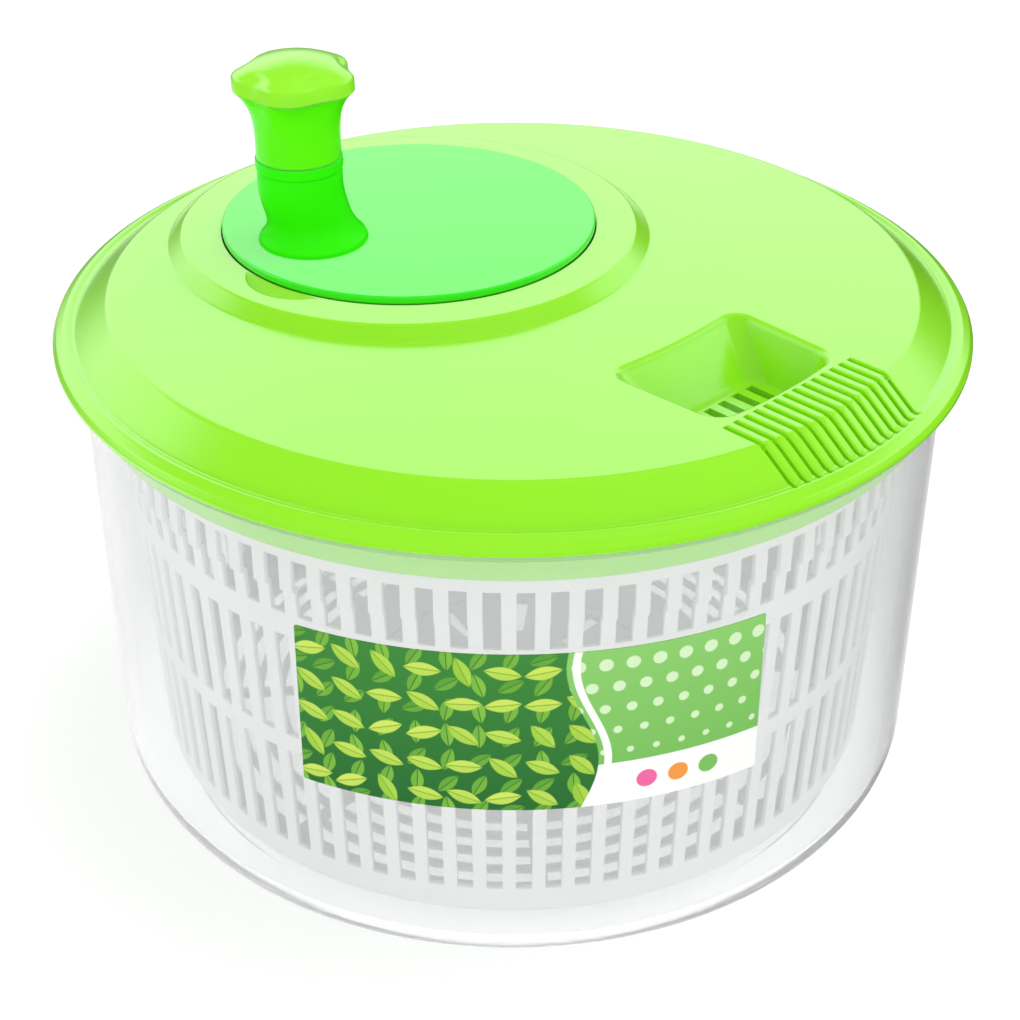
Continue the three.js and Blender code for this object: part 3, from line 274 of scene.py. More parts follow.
LABEL_WIDTH = 114
LABEL_HEIGHT = 46
LABEL_BOTTOM = 53
LABEL_FILM = 0.28
LABEL_CORNER = 0.5
LABEL_DIRECTION = math.radians(223)
LABEL_FIELD = 0.6  # share of the width that the leaf pattern takes
LABEL_FOOT = 0.27  # share of the height that the white foot takes
LABEL_STAND_OFF = 0.32  # of the film's back from the wall
WAVE_SWING = 0.035  # share of the width that the field's edge swings
WAVE_RATE = 5.2
BAND_SHIFT = 0.02
BAND_HALF = 0.008  # half width of the white band beside the field, as a share of the width
LEAF_PITCH = 7.4
LEAF_SPREAD = 1.6  # radians between the most turned leaves
DOT_PITCH = 6.4
DOT_GROWTH = 1.5
DOT_LEAST = 0.35
SPOT_RADIUS = 2.6
# Each spot's place as a share of the width, and its colour.
SPOTS = ((0.74, (236, 98, 160)), (0.81, (240, 150, 60)), (0.88, (120, 190, 90)))


def combine(tree, operation, *values):
    """The outcome of a sum on numbers and on the outputs of other nodes."""
    node = tree.nodes.new("ShaderNodeMath")
    node.operation = operation
    for socket, value in zip(node.inputs, values):
        if isinstance(value, (int, float)):
            socket.default_value = value
        else:
            tree.links.new(value, socket)
    return node.outputs["Value"]


def ramp(tree, source, low, high, start=0, end=1, smooth=True):
    """A value that goes from start to end while its source goes from low to high."""
    node = tree.nodes.new("ShaderNodeMapRange")
    node.interpolation_type = "SMOOTHSTEP" if smooth else "LINEAR"
    set_inputs(node, {"From Min": low, "From Max": high, "To Min": start, "To Max": end})
    tree.links.new(source, node.inputs["Value"])
    return node.outputs["Result"]


def label_film():
    """The printed film: its picture is worked out from the label's own UV map."""
    material = bpy.data.materials.new("label_film")
    material.use_nodes = True
    nodes, links = material.node_tree.nodes, material.node_tree.links
    calc = partial(combine, material.node_tree)

    def mask(distance, soft):
        """1 where a distance is below 0, with an edge as wide as soft."""
        return ramp(material.node_tree, distance, soft, -soft, smooth=False)

    def hypot(first, second):
        """The long side of a right-angled triangle."""
        return calc("SQRT", calc("ADD", calc("MULTIPLY", first, first), calc("MULTIPLY", second, second)))

    def paint(share, under, over):
        """One colour laid over another, where the share is above 0."""
        node = nodes.new("ShaderNodeMix")
        node.data_type = "RGBA"
        links.new(share, node.inputs["Factor"])
        for socket, value in ((node.inputs["A"], under), (node.inputs["B"], over)):
            if isinstance(value, tuple):
                socket.default_value = value
            else:
                links.new(value, socket)
        return node.outputs["Result"]

    uv = nodes.new("ShaderNodeUVMap")
    uv.uv_map = "sheet"
    split = nodes.new("ShaderNodeSeparateXYZ")
    links.new(uv.outputs["UV"], split.inputs["Vector"])
    across, up = split.outputs["X"], split.outputs["Y"]
    wave = calc("MULTIPLY", calc("SINE", calc("MULTIPLY", up, WAVE_RATE)), WAVE_SWING)
    edge = calc("SUBTRACT", calc("SUBTRACT", across, LABEL_FIELD), wave)
    field = mask(edge, 0.001)
    band = calc("SUBTRACT", calc("ABSOLUTE", calc("SUBTRACT", edge, BAND_SHIFT)), BAND_HALF)

    def gone_from(spot_x, spot_y):
        """Distance in millimetres from a place on the film."""
        off_x = calc("MULTIPLY", calc("SUBTRACT", across, spot_x), LABEL_WIDTH)
        off_y = calc("MULTIPLY", calc("SUBTRACT", up, spot_y), LABEL_HEIGHT)
        return hypot(off_x, off_y)

    def leaf_layer(under, pitch, turn, shift, fat, low, high, vein_color):
        """Leaves in a grid of cells, each in a tint of its own between two colours."""
        grid_x = calc("ADD", calc("MULTIPLY", across, LABEL_WIDTH / pitch), shift)
        grid_y = calc("ADD", calc("MULTIPLY", up, LABEL_HEIGHT / pitch), shift)
        cell = nodes.new("ShaderNodeCombineXYZ")
        links.new(calc("FLOOR", grid_x), cell.inputs["X"])
        links.new(calc("FLOOR", grid_y), cell.inputs["Y"])
        chance = nodes.new("ShaderNodeTexWhiteNoise")
        chance.noise_dimensions = "2D"
        links.new(cell.outputs["Vector"], chance.inputs["Vector"])
        lean = calc("MULTIPLY_ADD", chance.outputs["Value"], LEAF_SPREAD, turn)
        cos, sin = calc("COSINE", lean), calc("SINE", lean)
        cell_x = calc("SUBTRACT", calc("FRACT", grid_x), 0.5)
        cell_y = calc("SUBTRACT", calc("FRACT", grid_y), 0.5)
        along = calc("ADD", calc("MULTIPLY", cell_x, cos), calc("MULTIPLY", cell_y, sin))
        aside = calc("SUBTRACT", calc("MULTIPLY", cell_y, cos), calc("MULTIPLY", cell_x, sin))
        width = calc("SUBTRACT", fat, calc("MULTIPLY", calc("MULTIPLY", along, along), fat * 4.4))
        leaf = mask(calc("SUBTRACT", calc("ABSOLUTE", aside), width), 0.014)
        vein = mask(calc("SUBTRACT", calc("ABSOLUTE", aside), 0.016), 0.01)
        side = mask(aside, 0.01)
        tint = calc("MULTIPLY_ADD", chance.outputs["Value"], 0.75, calc("MULTIPLY", side, 0.25))
        leaves = paint(leaf, under, paint(tint, low, high))
        return paint(calc("MULTIPLY", vein, leaf), leaves, vein_color)

    ground = paint(up, srgb(34, 112, 44), srgb(56, 138, 52))
    leaves = leaf_layer(
        ground,
        pitch=LEAF_PITCH,
        turn=0.3,
        shift=0.5,
        fat=0.21,
        low=srgb(84, 158, 46),
        high=srgb(128, 190, 58),
        vein_color=srgb(50, 120, 40),
    )
    leaves = leaf_layer(
        leaves,
        pitch=LEAF_PITCH * 1.25,
        turn=1.9,
        shift=0.1,
        fat=0.2,
        low=srgb(148, 200, 52),
        high=srgb(204, 226, 92),
        vein_color=srgb(126, 178, 44),
    )
    panel = paint(up, srgb(112, 186, 80), srgb(136, 202, 104))
    dot_row = calc("MULTIPLY", up, LABEL_HEIGHT / DOT_PITCH)
    stagger = calc("MULTIPLY", calc("MODULO", calc("FLOOR", dot_row), 2), 0.5)
    dot_column = calc("MULTIPLY_ADD", across, LABEL_WIDTH / DOT_PITCH, stagger)
    dot_x = calc("MULTIPLY", calc("SUBTRACT", calc("FRACT", dot_column), 0.5), DOT_PITCH)
    dot_y = calc("MULTIPLY", calc("SUBTRACT", calc("FRACT", dot_row), 0.5), DOT_PITCH)
    dot_size = calc("MULTIPLY_ADD", up, DOT_GROWTH, DOT_LEAST)
    dot = mask(calc("SUBTRACT", hypot(dot_x, dot_y), dot_size), 0.12)
    panel = paint(calc("MULTIPLY", dot, 0.8), panel, srgb(222, 242, 204))
    panel = paint(mask(calc("SUBTRACT", up, LABEL_FOOT), 0.003), panel, srgb(244, 246, 242))
    for spot_x, color in SPOTS:
        spot = mask(calc("SUBTRACT", gone_from(spot_x, LABEL_FOOT / 2), SPOT_RADIUS), 0.14)
        panel = paint(spot, panel, srgb(*color))
    picture = paint(field, panel, leaves)
    picture = paint(mask(band, 0.001), picture, srgb(246, 249, 240))

    links.new(picture, nodes["Principled BSDF"].inputs["Base Color"])
    add_skin(material, gloss=(0.3, 0.42), mottle=60, ripple=0.02, depth=0.0003)
    return material


def wall_radius(height):
    """The bowl's outside radius at a height."""
    span = flange_top - FLANGE_THICK - BOWL_CORNER
    return mouth - BOWL_TAPER * (flange_top - FLANGE_THICK - height) / span


def add_rectangle(bm, width, length, corner, segments):
    """Adds a level face with rounded corners about the origin."""
    corners = bmesh.ops.create_grid(bm, x_segments=1, y_segments=1, size=0.5)["verts"]
    bmesh.ops.scale(bm, vec=Vector((width, length, 1)), verts=corners)
    bmesh.ops.bevel(
        bm,
        geom=list(corners[0].link_faces[0].verts),
        offset=corner,
        offset_type="OFFSET",
        affect="VERTICES",
        segments=segments,
        profile=0.5,
        material=-1,
    )


label_mesh = bmesh.new()
add_rectangle(label_mesh, LABEL_WIDTH, LABEL_HEIGHT, LABEL_CORNER, segments=3)
LABEL_STRIPS = 60
for strip in range(1, LABEL_STRIPS):
    bmesh.ops.bisect_plane(
        label_mesh,
        geom=label_mesh.verts[:] + label_mesh.edges[:] + label_mesh.faces[:],
        plane_co=(LABEL_WIDTH * (strip / LABEL_STRIPS - 0.5), 0, 0),
        plane_no=(1, 0, 0),
    )
sheet_map = label_mesh.loops.layers.uv.new("sheet")
for face in label_mesh.faces:
    for loop in face.loops:
        place = loop.vert.co
        loop[sheet_map].uv = (place.x / LABEL_WIDTH + 0.5, place.y / LABEL_HEIGHT + 0.5)
raised = bmesh.ops.extrude_face_region(
    label_mesh, geom=label_mesh.faces[:], use_keep_orig=True
)["geom"]
raised_verts = [g for g in raised if isinstance(g, bmesh.types.BMVert)]
bmesh.ops.translate(label_mesh, vec=(0, 0, LABEL_FILM), verts=raised_verts)
for vert in label_mesh.verts:
    height = LABEL_BOTTOM + LABEL_HEIGHT / 2 + vert.co.y
    radius = wall_radius(height) + LABEL_STAND_OFF + vert.co.z
    direction = LABEL_DIRECTION + vert.co.x / wall_radius(height)
    vert.co = Vector((radius * math.cos(direction), radius * math.sin(direction), height))
label = finished_mesh("label", label_mesh)
fit(label, "vessel", "label_sticker", label_film())
label.visible_diffuse = False
label.visible_shadow = False


# ---------------------------------------------------------------------------- basket
# White injection-moulded basket. Its tapering wall has three rows of upright slots and a step
# across the top row. Its floor has rings of curved slots, and radial ones round the socket that
# sits on the bowl's pin.

SLOTS_ROUND = 86
SLOT_SHARE = 0.54
SLOT_PHASE = math.radians(0.34)
SLOT_EDGE = 0.22
SLOT_BAND = 6.2  # solid band between the top row and the rim's top
TOP_SLOT = 16.9
SLOT_BOTTOM = 10.7  # solid band between the floor and the lowest row
UPPER_SPACING = 7
LOWER_SPACING = 5.3
STEP_ABOVE_ROW = 8.2  # the step lies this far above the top row's lower end
BASKET_WALL = 1.6
BASKET_RIM_OUT = 2.4
BASKET_STEP = 1
BASKET_TAPER = 4.6
BASKET_CORNER = 7
FLOOR_RINGS = 4
FLOOR_SECTORS = 8
FLOOR_RING_MARGIN = 12.4  # from the wall's foot to the outermost ring of slots
FLOOR_RING_SLOT = 4.4
FLOOR_RING_BAR = 2.1
FLOOR_BAR_WIDTH = 3.4
FLOOR_BAR_RADIUS = 76  # the radius at which the bars between the curved slots are that wide
FLOOR_SEAM = 43  # radius at which the pattern of the floor changes
INNER_FLOOR_SLOTS = 10
INNER_SLOTS = (24, 40)  # radii of the radial slots' ends
SOCKET_RADIUS = 5.3
SOCKET_OUTSIDE = 7.2
SOCKET_TOP = 18.1
SOCKET_ROOF = 2
KEYS_ROUND = 8
KEY_SIZE = (2.2, 3.4, 5.8)
KEY_INSIDE = 1.1  # of a key's middle from the wall's inside
KEY_BELOW_RIM = 3.2

basket_low, basket_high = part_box("basket")
basket_bottom = basket_low.z / MM
basket_top = basket_high.z / MM
basket_radius = basket_high.y / MM - BASKET_RIM_OUT
rows_top = basket_top - SLOT_BAND
top_row = (rows_top - TOP_SLOT, rows_top)
rows_bottom = basket_bottom + SLOT_BOTTOM
tall_row = (top_row[0] - rows_bottom - UPPER_SPACING - LOWER_SPACING) / 2
low_row = (rows_bottom, rows_bottom + tall_row)
middle_row = (low_row[1] + LOWER_SPACING, top_row[0] - UPPER_SPACING)
step_height = top_row[0] + STEP_ABOVE_ROW
foot_radius = basket_radius - BASKET_STEP - BASKET_TAPER
corner_height = basket_bottom + BASKET_CORNER


def basket_radius_at(height):
    """Outside radius of the basket's wall between its corner and its step."""
    return foot_radius + BASKET_TAPER * (height - corner_height) / (step_height - corner_height)


def rotate(bm, angle, verts, axis="Z"):
    """Turns vertices about an axis through the origin."""
    turn = Matrix.Rotation(angle, 3, axis)
    bmesh.ops.rotate(bm, cent=(0, 0, 0), matrix=turn, verts=verts)


def slotted_sheet(bm, outline, count, share, is_open, slot_steps=2):
    """Turns an outline round in count sectors of rib, slot and rib, without the open faces."""
    pitch = 2 * math.pi / count
    rib = (1 - share) / 2 * pitch
    strips = ((0, rib, 1), (rib, pitch - 2 * rib, slot_steps), (pitch - rib, rib, 1))
    for number, (start, sweep, steps) in enumerate(strips):
        turn = Matrix.Rotation(start - math.pi / 2 + SLOT_PHASE, 3, "Z")
        verts = [bm.verts.new(turn @ Vector((r, 0, z))) for r, z in outline]
        edges = [bm.edges.new(pair) for pair in zip(verts, verts[1:])]
        before = set(bm.faces)
        bmesh.ops.spin(
            bm, geom=verts + edges, cent=(0, 0, 0), axis=(0, 0, 1), angle=sweep, steps=steps
        )
        made = [face for face in bm.faces if face not in before]
        if number == 1:
            gone = [face for face in made if is_open(face.calc_center_median())]
            bmesh.ops.delete(bm, geom=gone, context="FACES")
    sector = bm.faces[:]
    for number in range(1, count):
        copy = bmesh.ops.duplicate(bm, geom=sector)["geom"]
        rotate(bm, number * pitch, [part for part in copy if isinstance(part, bmesh.types.BMVert)])
    bmesh.ops.remove_doubles(bm, verts=bm.verts, dist=1e-3)


def with_modifiers(piece):
    """Puts a piece's modifiers into its mesh."""
    bpy.context.view_layer.update()
    seen = piece.evaluated_get(bpy.context.evaluated_depsgraph_get())
    mesh = bpy.data.meshes.new_from_object(seen)
    piece.modifiers.clear()
    piece.data = mesh


def thickened(piece, thickness, edge):
    """Gives an open sheet its wall, inwards, and eases its edges."""
    wall = piece.modifiers.new("wall", "SOLIDIFY")
    wall.thickness = thickness * MM
    wall.offset = -1
    wall.use_even_offset = True
    ease = piece.modifiers.new("ease", "BEVEL")
    ease.width = edge * MM
    ease.segments = 2
    ease.limit_method = "ANGLE"
    ease.angle_limit = math.radians(55)
    with_modifiers(piece)


def in_rows(point):
    """Whether a face of the wall lies in a row of slots."""
    return any(low < point.z < high for low, high in (low_row, middle_row, top_row))


def reopened(*pieces):
    """The joined meshes of finished pieces in millimetres again, with the pieces removed."""
    bm = bmesh.new()
    for piece in pieces:
        bm.from_mesh(piece.data)
        bpy.data.objects.remove(piece)
    bmesh.ops.scale(bm, vec=Vector((1 / MM, 1 / MM, 1 / MM)), verts=bm.verts)
    return bm


def take_in(bm, other):
    """Moves all of another mesh into this one."""
    carried = bpy.data.meshes.new("carried")
    other.to_mesh(carried)
    other.free()
    bm.from_mesh(carried)
    bpy.data.meshes.remove(carried)


def add_box(bm, size, middle):
    """Adds a box, and returns its corners."""
    corners = bmesh.ops.create_cube(bm, size=1)["verts"]
    bmesh.ops.scale(bm, vec=Vector(size), verts=corners)
    bmesh.ops.translate(bm, vec=middle, verts=corners)
    return corners


white_plastic = plastic(
    "white_plastic", srgb(241, 242, 241), srgb(234, 236, 235), gloss=(0.3, 0.42)
)

row_edges = [*low_row, *middle_row, top_row[0]]
wall_mesh = bmesh.new()
slotted_sheet(
    wall_mesh,
    [
        *[
            (
                foot_radius - BASKET_CORNER + BASKET_CORNER * math.sin(turn),
                corner_height - BASKET_CORNER * math.cos(turn),
            )
            for turn in [math.radians(15 * k) for k in range(7)]
        ],
        *[(basket_radius_at(height), height) for height in row_edges],
        (basket_radius_at(step_height), step_height),
        (basket_radius, step_height + 0.5),
        (basket_radius, top_row[1]),
        (basket_radius, basket_top - BASKET_WALL),
        (basket_radius + BASKET_RIM_OUT, basket_top - BASKET_WALL),
    ],
    SLOTS_ROUND,
    SLOT_SHARE,
    in_rows,
)
floor_outside = foot_radius - BASKET_CORNER
floor_rings = [
    (outside - FLOOR_RING_SLOT, outside)
    for outside in [
        foot_radius - FLOOR_RING_MARGIN - ring * (FLOOR_RING_SLOT + FLOOR_RING_BAR)
        for ring in range(FLOOR_RINGS)
    ]
]


def in_floor_rings(point):
    """Whether a face of the floor lies in a ring of curved slots."""
    radius = math.hypot(point.x, point.y)
    return any(inside < radius < outside for inside, outside in floor_rings)


def in_inner_slots(point):
    """Whether a face of the floor lies between the ends of the radial slots."""
    return INNER_SLOTS[0] < math.hypot(point.x, point.y) < INNER_SLOTS[1]


outer_floor = bmesh.new()
slotted_sheet(
    outer_floor,
    [
        (radius, basket_bottom)
        for radius in (FLOOR_SEAM, *sorted(edge for ring in floor_rings for edge in ring), floor_outside)
    ],
    FLOOR_SECTORS,
    1 - FLOOR_BAR_WIDTH * FLOOR_SECTORS / (2 * math.pi * FLOOR_BAR_RADIUS),
    in_floor_rings,
    slot_steps=12,
)
inner_floor = bmesh.new()
slotted_sheet(
    inner_floor,
    [(radius, basket_bottom) for radius in (SOCKET_RADIUS + 1, *INNER_SLOTS, FLOOR_SEAM)],
    INNER_FLOOR_SLOTS,
    FLOOR_BAR_WIDTH * INNER_FLOOR_SLOTS / (math.pi * sum(INNER_SLOTS)),
    in_inner_slots,
)
for floor_mesh in (outer_floor, inner_floor):
    bmesh.ops.reverse_faces(floor_mesh, faces=floor_mesh.faces)
    take_in(wall_mesh, floor_mesh)
basket = finished_mesh("basket_body", wall_mesh)
thickened(basket, BASKET_WALL, SLOT_EDGE)
hub_mesh = reopened(basket)
hub_outline = [
    (0, SOCKET_TOP - SOCKET_ROOF, 0),
    (SOCKET_RADIUS, SOCKET_TOP - SOCKET_ROOF, 0),
    (SOCKET_RADIUS, basket_bottom, 0.4),
    (SOCKET_OUTSIDE + 2, basket_bottom, 0),
    (SOCKET_OUTSIDE + 2.5, basket_bottom + BASKET_WALL, 0),
    (SOCKET_OUTSIDE, basket_bottom + BASKET_WALL, 1.5),
    (SOCKET_OUTSIDE, SOCKET_TOP, 0.6),
    (0, SOCKET_TOP, 0),
]
turned(hub_mesh, rounded(hub_outline), steps=48)
key_place = (0, KEY_INSIDE + BASKET_WALL - basket_radius, basket_top - KEY_BELOW_RIM)
for number in range(KEYS_ROUND):
    key = add_box(hub_mesh, KEY_SIZE, key_place)
    rotate(hub_mesh, (number + 0.5) * 2 * math.pi / KEYS_ROUND, key)
basket = finished_mesh("basket_moulding", hub_mesh)
fit(basket, "basket_body", "basket", white_plastic)


# ---------------------------------------------------------------------------- lid
# One glossy lime moulding. Its skirt falls to a beaded rim on the bowl's flange, with a plug
# inside the bowl, a raised housing for the gears, a funnel for water and a comb of pouring slits.

lime_plastic = plastic(
    "lime_plastic",
    srgb(148, 235, 26),
    srgb(144, 233, 22),
    gloss=(0.2, 0.28),
    more={"Coat Weight": 1, "Coat Roughness": 0.18},
)

_, lid_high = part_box("lid")
LID_WALL = 1.8
BOSS_RISE = 3.4
SKIRT_DROP = 7.1
PLUG_DEPTH = 13.2
BEAD = 5.5
SKIRT_RUN = 9.2
RIM_WALL = 2
RIM_GAP = 0.3  # between the rim and the bowl's flange
PLUG_GAP = 0.4  # between the plug and the bowl's wall
CHANNEL_DROP = 1.9  # of the seat on the bowl's lip below the skirt's crease
lid_radius = lid_high.x / MM
lid_top = lid_high.z / MM - BOSS_RISE
crease_radius = lid_radius - BEAD
top_radius = crease_radius - SKIRT_RUN
crease_height = lid_top - SKIRT_DROP
channel_top = crease_height - CHANNEL_DROP
plug_radius = mouth - BOWL_WALL - PLUG_GAP
plug_bottom = channel_top - PLUG_DEPTH
rim_bottom = flange_top + RIM_GAP

lid_mesh = bmesh.new()
lid_outline = [
    (0, lid_top, 0),
    (top_radius, lid_top, 2.4),
    (crease_radius, crease_height, 1.2),
    # The beaded rim swells a little above the crease and rolls over to its lower edge.
    (lid_radius - 3.4, crease_height + 0.75, 2),
    (lid_radius - 0.9, crease_height - 0.7, 1.5),
    (lid_radius, rim_bottom + 1.4, 0.8),
    (lid_radius, rim_bottom, 0.5),
    (lid_radius - RIM_WALL, rim_bottom, 0.4),
    (lid_radius - RIM_WALL, channel_top, 0.4),
    (plug_radius, channel_top, 0.2),
    (plug_radius, plug_bottom, 0.6),
    (plug_radius - LID_WALL, plug_bottom, 0.6),
    (plug_radius - LID_WALL, crease_height + 0.6, 0.8),
    (top_radius - 0.7, lid_top - LID_WALL, 1.2),
    (0, lid_top - LID_WALL, 0),
]
turned(lid_mesh, rounded(lid_outline), steps=240)
lid = finished_mesh("lid_moulding", lid_mesh)


def carve(piece, cutter, operation="DIFFERENCE"):
    """Cuts a closed cutter from a piece, or joins it on, and removes the cutter."""
    change = piece.modifiers.new("carve", "BOOLEAN")
    change.operation = operation
    change.solver = "EXACT"
    change.use_self = True
    change.object = cutter
    with_modifiers(piece)
    bpy.data.objects.remove(cutter)


_, disc_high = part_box("crank_disc")
ring_low, ring_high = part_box("ring_gear")
crank_y = (ring_low.y + ring_high.y) / 2 / MM
DISC_RADIUS = disc_high.x / MM
WELL_RADIUS = DISC_RADIUS + 0.25
BOSS_RADIUS = 62.2
BOSS_FOOT = 66.3
BOSS_PLATE = 2.05
HOUSING_OPENING = 64  # radius of the hole in the lid's top under the housing

hole_mesh = bmesh.new()
hole_levels = (lid_top - 4, lid_top + 2)
hole_outline = [
    (0, hole_levels[0]),
    *[(HOUSING_OPENING, level) for level in hole_levels],
    (0, hole_levels[1]),
]
turned(hole_mesh, hole_outline, centre=(0, crank_y))
carve(lid, finished_mesh("housing_opening", hole_mesh))

# The funnel's well: a rounded rectangle that narrows to a slotted floor.
FUNNEL_LENGTH = 32.4
FUNNEL_WIDTH = 46.6
FUNNEL_DEPTH = 13
FUNNEL_BOW = 1.6
FUNNEL_TAPER = 0.064
FUNNEL_CORNER = 5
FUNNEL_LIP = 1.7
FUNNEL_MARGIN = 17  # from the funnel's outer end to the edge of the flat top
FUNNEL_TURN = math.radians(-4.6)
FUNNEL_SLOTS = 6
FUNNEL_SLOT_PITCH = 5.4
FUNNEL_SLOT_SIZE = (2.6, 16.6, 6)
FUNNEL_SLOT_SHIFT = 5.6  # outwards from the funnel's middle
# How far the outline slides out, narrows and shortens: at the throat, above the floor, in the bend
# to the floor, and on the floor.
FUNNEL_THROAT = (0.0, 0.6, 0.6)
FUNNEL_LOW = (-4.2, 9.4, 10.2)
FUNNEL_BEND = (-4.5, 10.0, 10.9)
FUNNEL_FLOOR = (-4.7, 10.4, 11.4)
funnel_far = top_radius - FUNNEL_MARGIN
funnel_middle = -(funnel_far - FUNNEL_LENGTH / 2)
funnel_floor = lid_top - FUNNEL_DEPTH


def funnel_ring(bm, grow, height, slide=0.0, narrow=0.0, shorten=0.0):
    """One level of the funnel as a loop of edges, with slightly bowed sides."""
    width = FUNNEL_WIDTH + 2 * grow - narrow
    length = FUNNEL_LENGTH + 2 * grow - shorten
    add_rectangle(bm, width, length, FUNNEL_CORNER + grow, segments=8)
    face = next(f for f in bm.faces if all(abs(v.co.z) < 1e-6 for v in f.verts))
    # The long sides are divided so that they can bow.
    long_edges = [edge for edge in face.edges if edge.calc_length() > 8]
    bmesh.ops.subdivide_edges(bm, edges=long_edges, cuts=11)
    for vert in face.verts:
        across = vert.co.x / (FUNNEL_WIDTH / 2)
        outward = (1 - vert.co.y / (FUNNEL_LENGTH / 2)) / 2
        vert.co.y -= FUNNEL_BOW * max(0, 1 - across**2)
        vert.co.x *= 1 - FUNNEL_TAPER * outward
    bmesh.ops.translate(bm, vec=(0, funnel_middle + slide, height), verts=list(face.verts))
    ring = list(face.edges)
    bmesh.ops.delete(bm, geom=[face], context="FACES_ONLY")
    return ring


def turn_funnel(bm):
    """Turns a shape made along -Y to the direction in which the funnel and the comb lie."""
    rotate(bm, FUNNEL_TURN, bm.verts)


def funnel_solid(name, levels):
    """A closed solid through the funnel's rings, from the first level down to the last."""
    bm = bmesh.new()
    rings = [funnel_ring(bm, *level) for level in levels]
    for upper, lower in zip(rings, rings[1:]):
        bmesh.ops.bridge_loops(bm, edges=upper + lower)
    for ring in (rings[0], rings[-1]):
        bmesh.ops.contextual_create(bm, geom=ring)
    turn_funnel(bm)
    return finished_mesh(name, bm)


outside_levels = [
    (LID_WALL, lid_top - 0.9),
    (LID_WALL, lid_top - 1.7, *FUNNEL_THROAT),
    (LID_WALL, funnel_floor + 1.6, *FUNNEL_LOW),
    (LID_WALL - 0.2, funnel_floor - LID_WALL + 0.5, *FUNNEL_BEND),
    (LID_WALL - 1, funnel_floor - LID_WALL, *FUNNEL_FLOOR),
]
carve(lid, funnel_solid("funnel_outside", outside_levels), "UNION")
cavity_levels = [
    (FUNNEL_LIP, lid_top + 2),
    (FUNNEL_LIP, lid_top + 0.02),
    (FUNNEL_LIP - 0.65, lid_top - 0.13),
    (FUNNEL_LIP - 1.2, lid_top - 0.5),
    (FUNNEL_LIP - 1.59, lid_top - 1.1),
    (0.0, lid_top - 1.7, *FUNNEL_THROAT),
    (0.0, funnel_floor + 1.6, *FUNNEL_LOW),
    (-0.3, funnel_floor + 0.5, *FUNNEL_BEND),
    (-1.2, funnel_floor, *FUNNEL_FLOOR),
]
carve(lid, funnel_solid("funnel_cavity", cavity_levels))

slots_mesh = bmesh.new()
for number in range(FUNNEL_SLOTS):
    across = (number - (FUNNEL_SLOTS - 1) / 2) * FUNNEL_SLOT_PITCH
    slot_middle = (across, funnel_middle - FUNNEL_SLOT_SHIFT, funnel_floor - 0.5)
    add_box(slots_mesh, FUNNEL_SLOT_SIZE, slot_middle)
turn_funnel(slots_mesh)
carve(lid, finished_mesh("funnel_slots", slots_mesh))

# The comb: grooves along Y that start shallow on the flat and run down the skirt.
COMB_SLITS = 14
COMB_PITCH = 3.6
COMB_START = top_radius - 13.5
COMB_LEAST_DEPTH = 0.75
# How far a groove's rounded lip stands out to the side and up.
COMB_LIP = ((1.1, 0.5), (0.5, -0.06), (0.14, -0.3))
flat_up = Vector((0, 0, 1))
skirt_up = Vector((0, -0.61, 0.79))  # square to the skirt
# Radius, height, depth, half width and upward direction along a groove.
comb_path = (
    (COMB_START, lid_top, 0.05, 0.4, flat_up),
    (COMB_START + 0.8, lid_top, 1.2, 0.5, flat_up),
    (top_radius - 1.6, lid_top, 1.5, 0.5, flat_up),
    (top_radius + 0.1, lid_top - 0.35, 2.2, 0.42, (flat_up + skirt_up) / 2),
    (top_radius + 1.6, lid_top - 1.25, 2.7, 0.38, skirt_up),
    (crease_radius - 0.7, crease_height + 0.55, 2.7, 0.38, skirt_up),
    (crease_radius + 0.6, crease_height + 0.2, 1.3, 0.35, skirt_up),
    (crease_radius + 1.5, crease_height + 0.4, 0.05, 0.3, skirt_up),
)
comb_mesh = bmesh.new()
for number in range(COMB_SLITS):
    across = (number - (COMB_SLITS - 1) / 2) * COMB_PITCH
    loops = []
    for radius, height, depth, half, up in comb_path:
        flat = radius < top_radius - 1
        distance = radius if flat else math.sqrt(radius**2 - across**2)
        seat = Vector((across, -distance, height))
        flank = [*COMB_LIP, (0, -max(depth, COMB_LEAST_DEPTH))]
        section = [
            seat + Vector((side * (half + spread), 0, 0)) + up * level
            for side, points in ((-1, flank), (1, reversed(flank)))
            for spread, level in points
        ]
        verts = [comb_mesh.verts.new(point) for point in section]
        loops.append([comb_mesh.edges.new((a, b)) for a, b in zip(verts, verts[1:] + verts[:1])])
    for near, far in zip(loops, loops[1:]):
        bmesh.ops.bridge_loops(comb_mesh, edges=near + far)
    for loop in (loops[0], loops[-1]):
        bmesh.ops.contextual_create(comb_mesh, geom=loop)
turn_funnel(comb_mesh)
carve(lid, finished_mesh("comb_slits", comb_mesh))

boss_mesh = bmesh.new()
boss_top = lid_top + BOSS_RISE
boss_outline = [
    (WELL_RADIUS, boss_top - BOSS_PLATE, 0.2),
    (WELL_RADIUS, boss_top, 0.25),
    (BOSS_RADIUS, boss_top, 1.6),
    (BOSS_FOOT, lid_top - 0.02, 1.6),
    (BOSS_FOOT + 1.2, lid_top - 0.05, 0),
    (BOSS_FOOT + 1.2, lid_top - 1.6, 0),
    (BOSS_FOOT - 3, lid_top - 1.6, 0.5),
    (BOSS_RADIUS - 1.2, boss_top - BOSS_PLATE, 0.8),
]
turned(boss_mesh, rounded(boss_outline), centre=(0, crank_y))
boss = finished_mesh("gear_housing", boss_mesh)

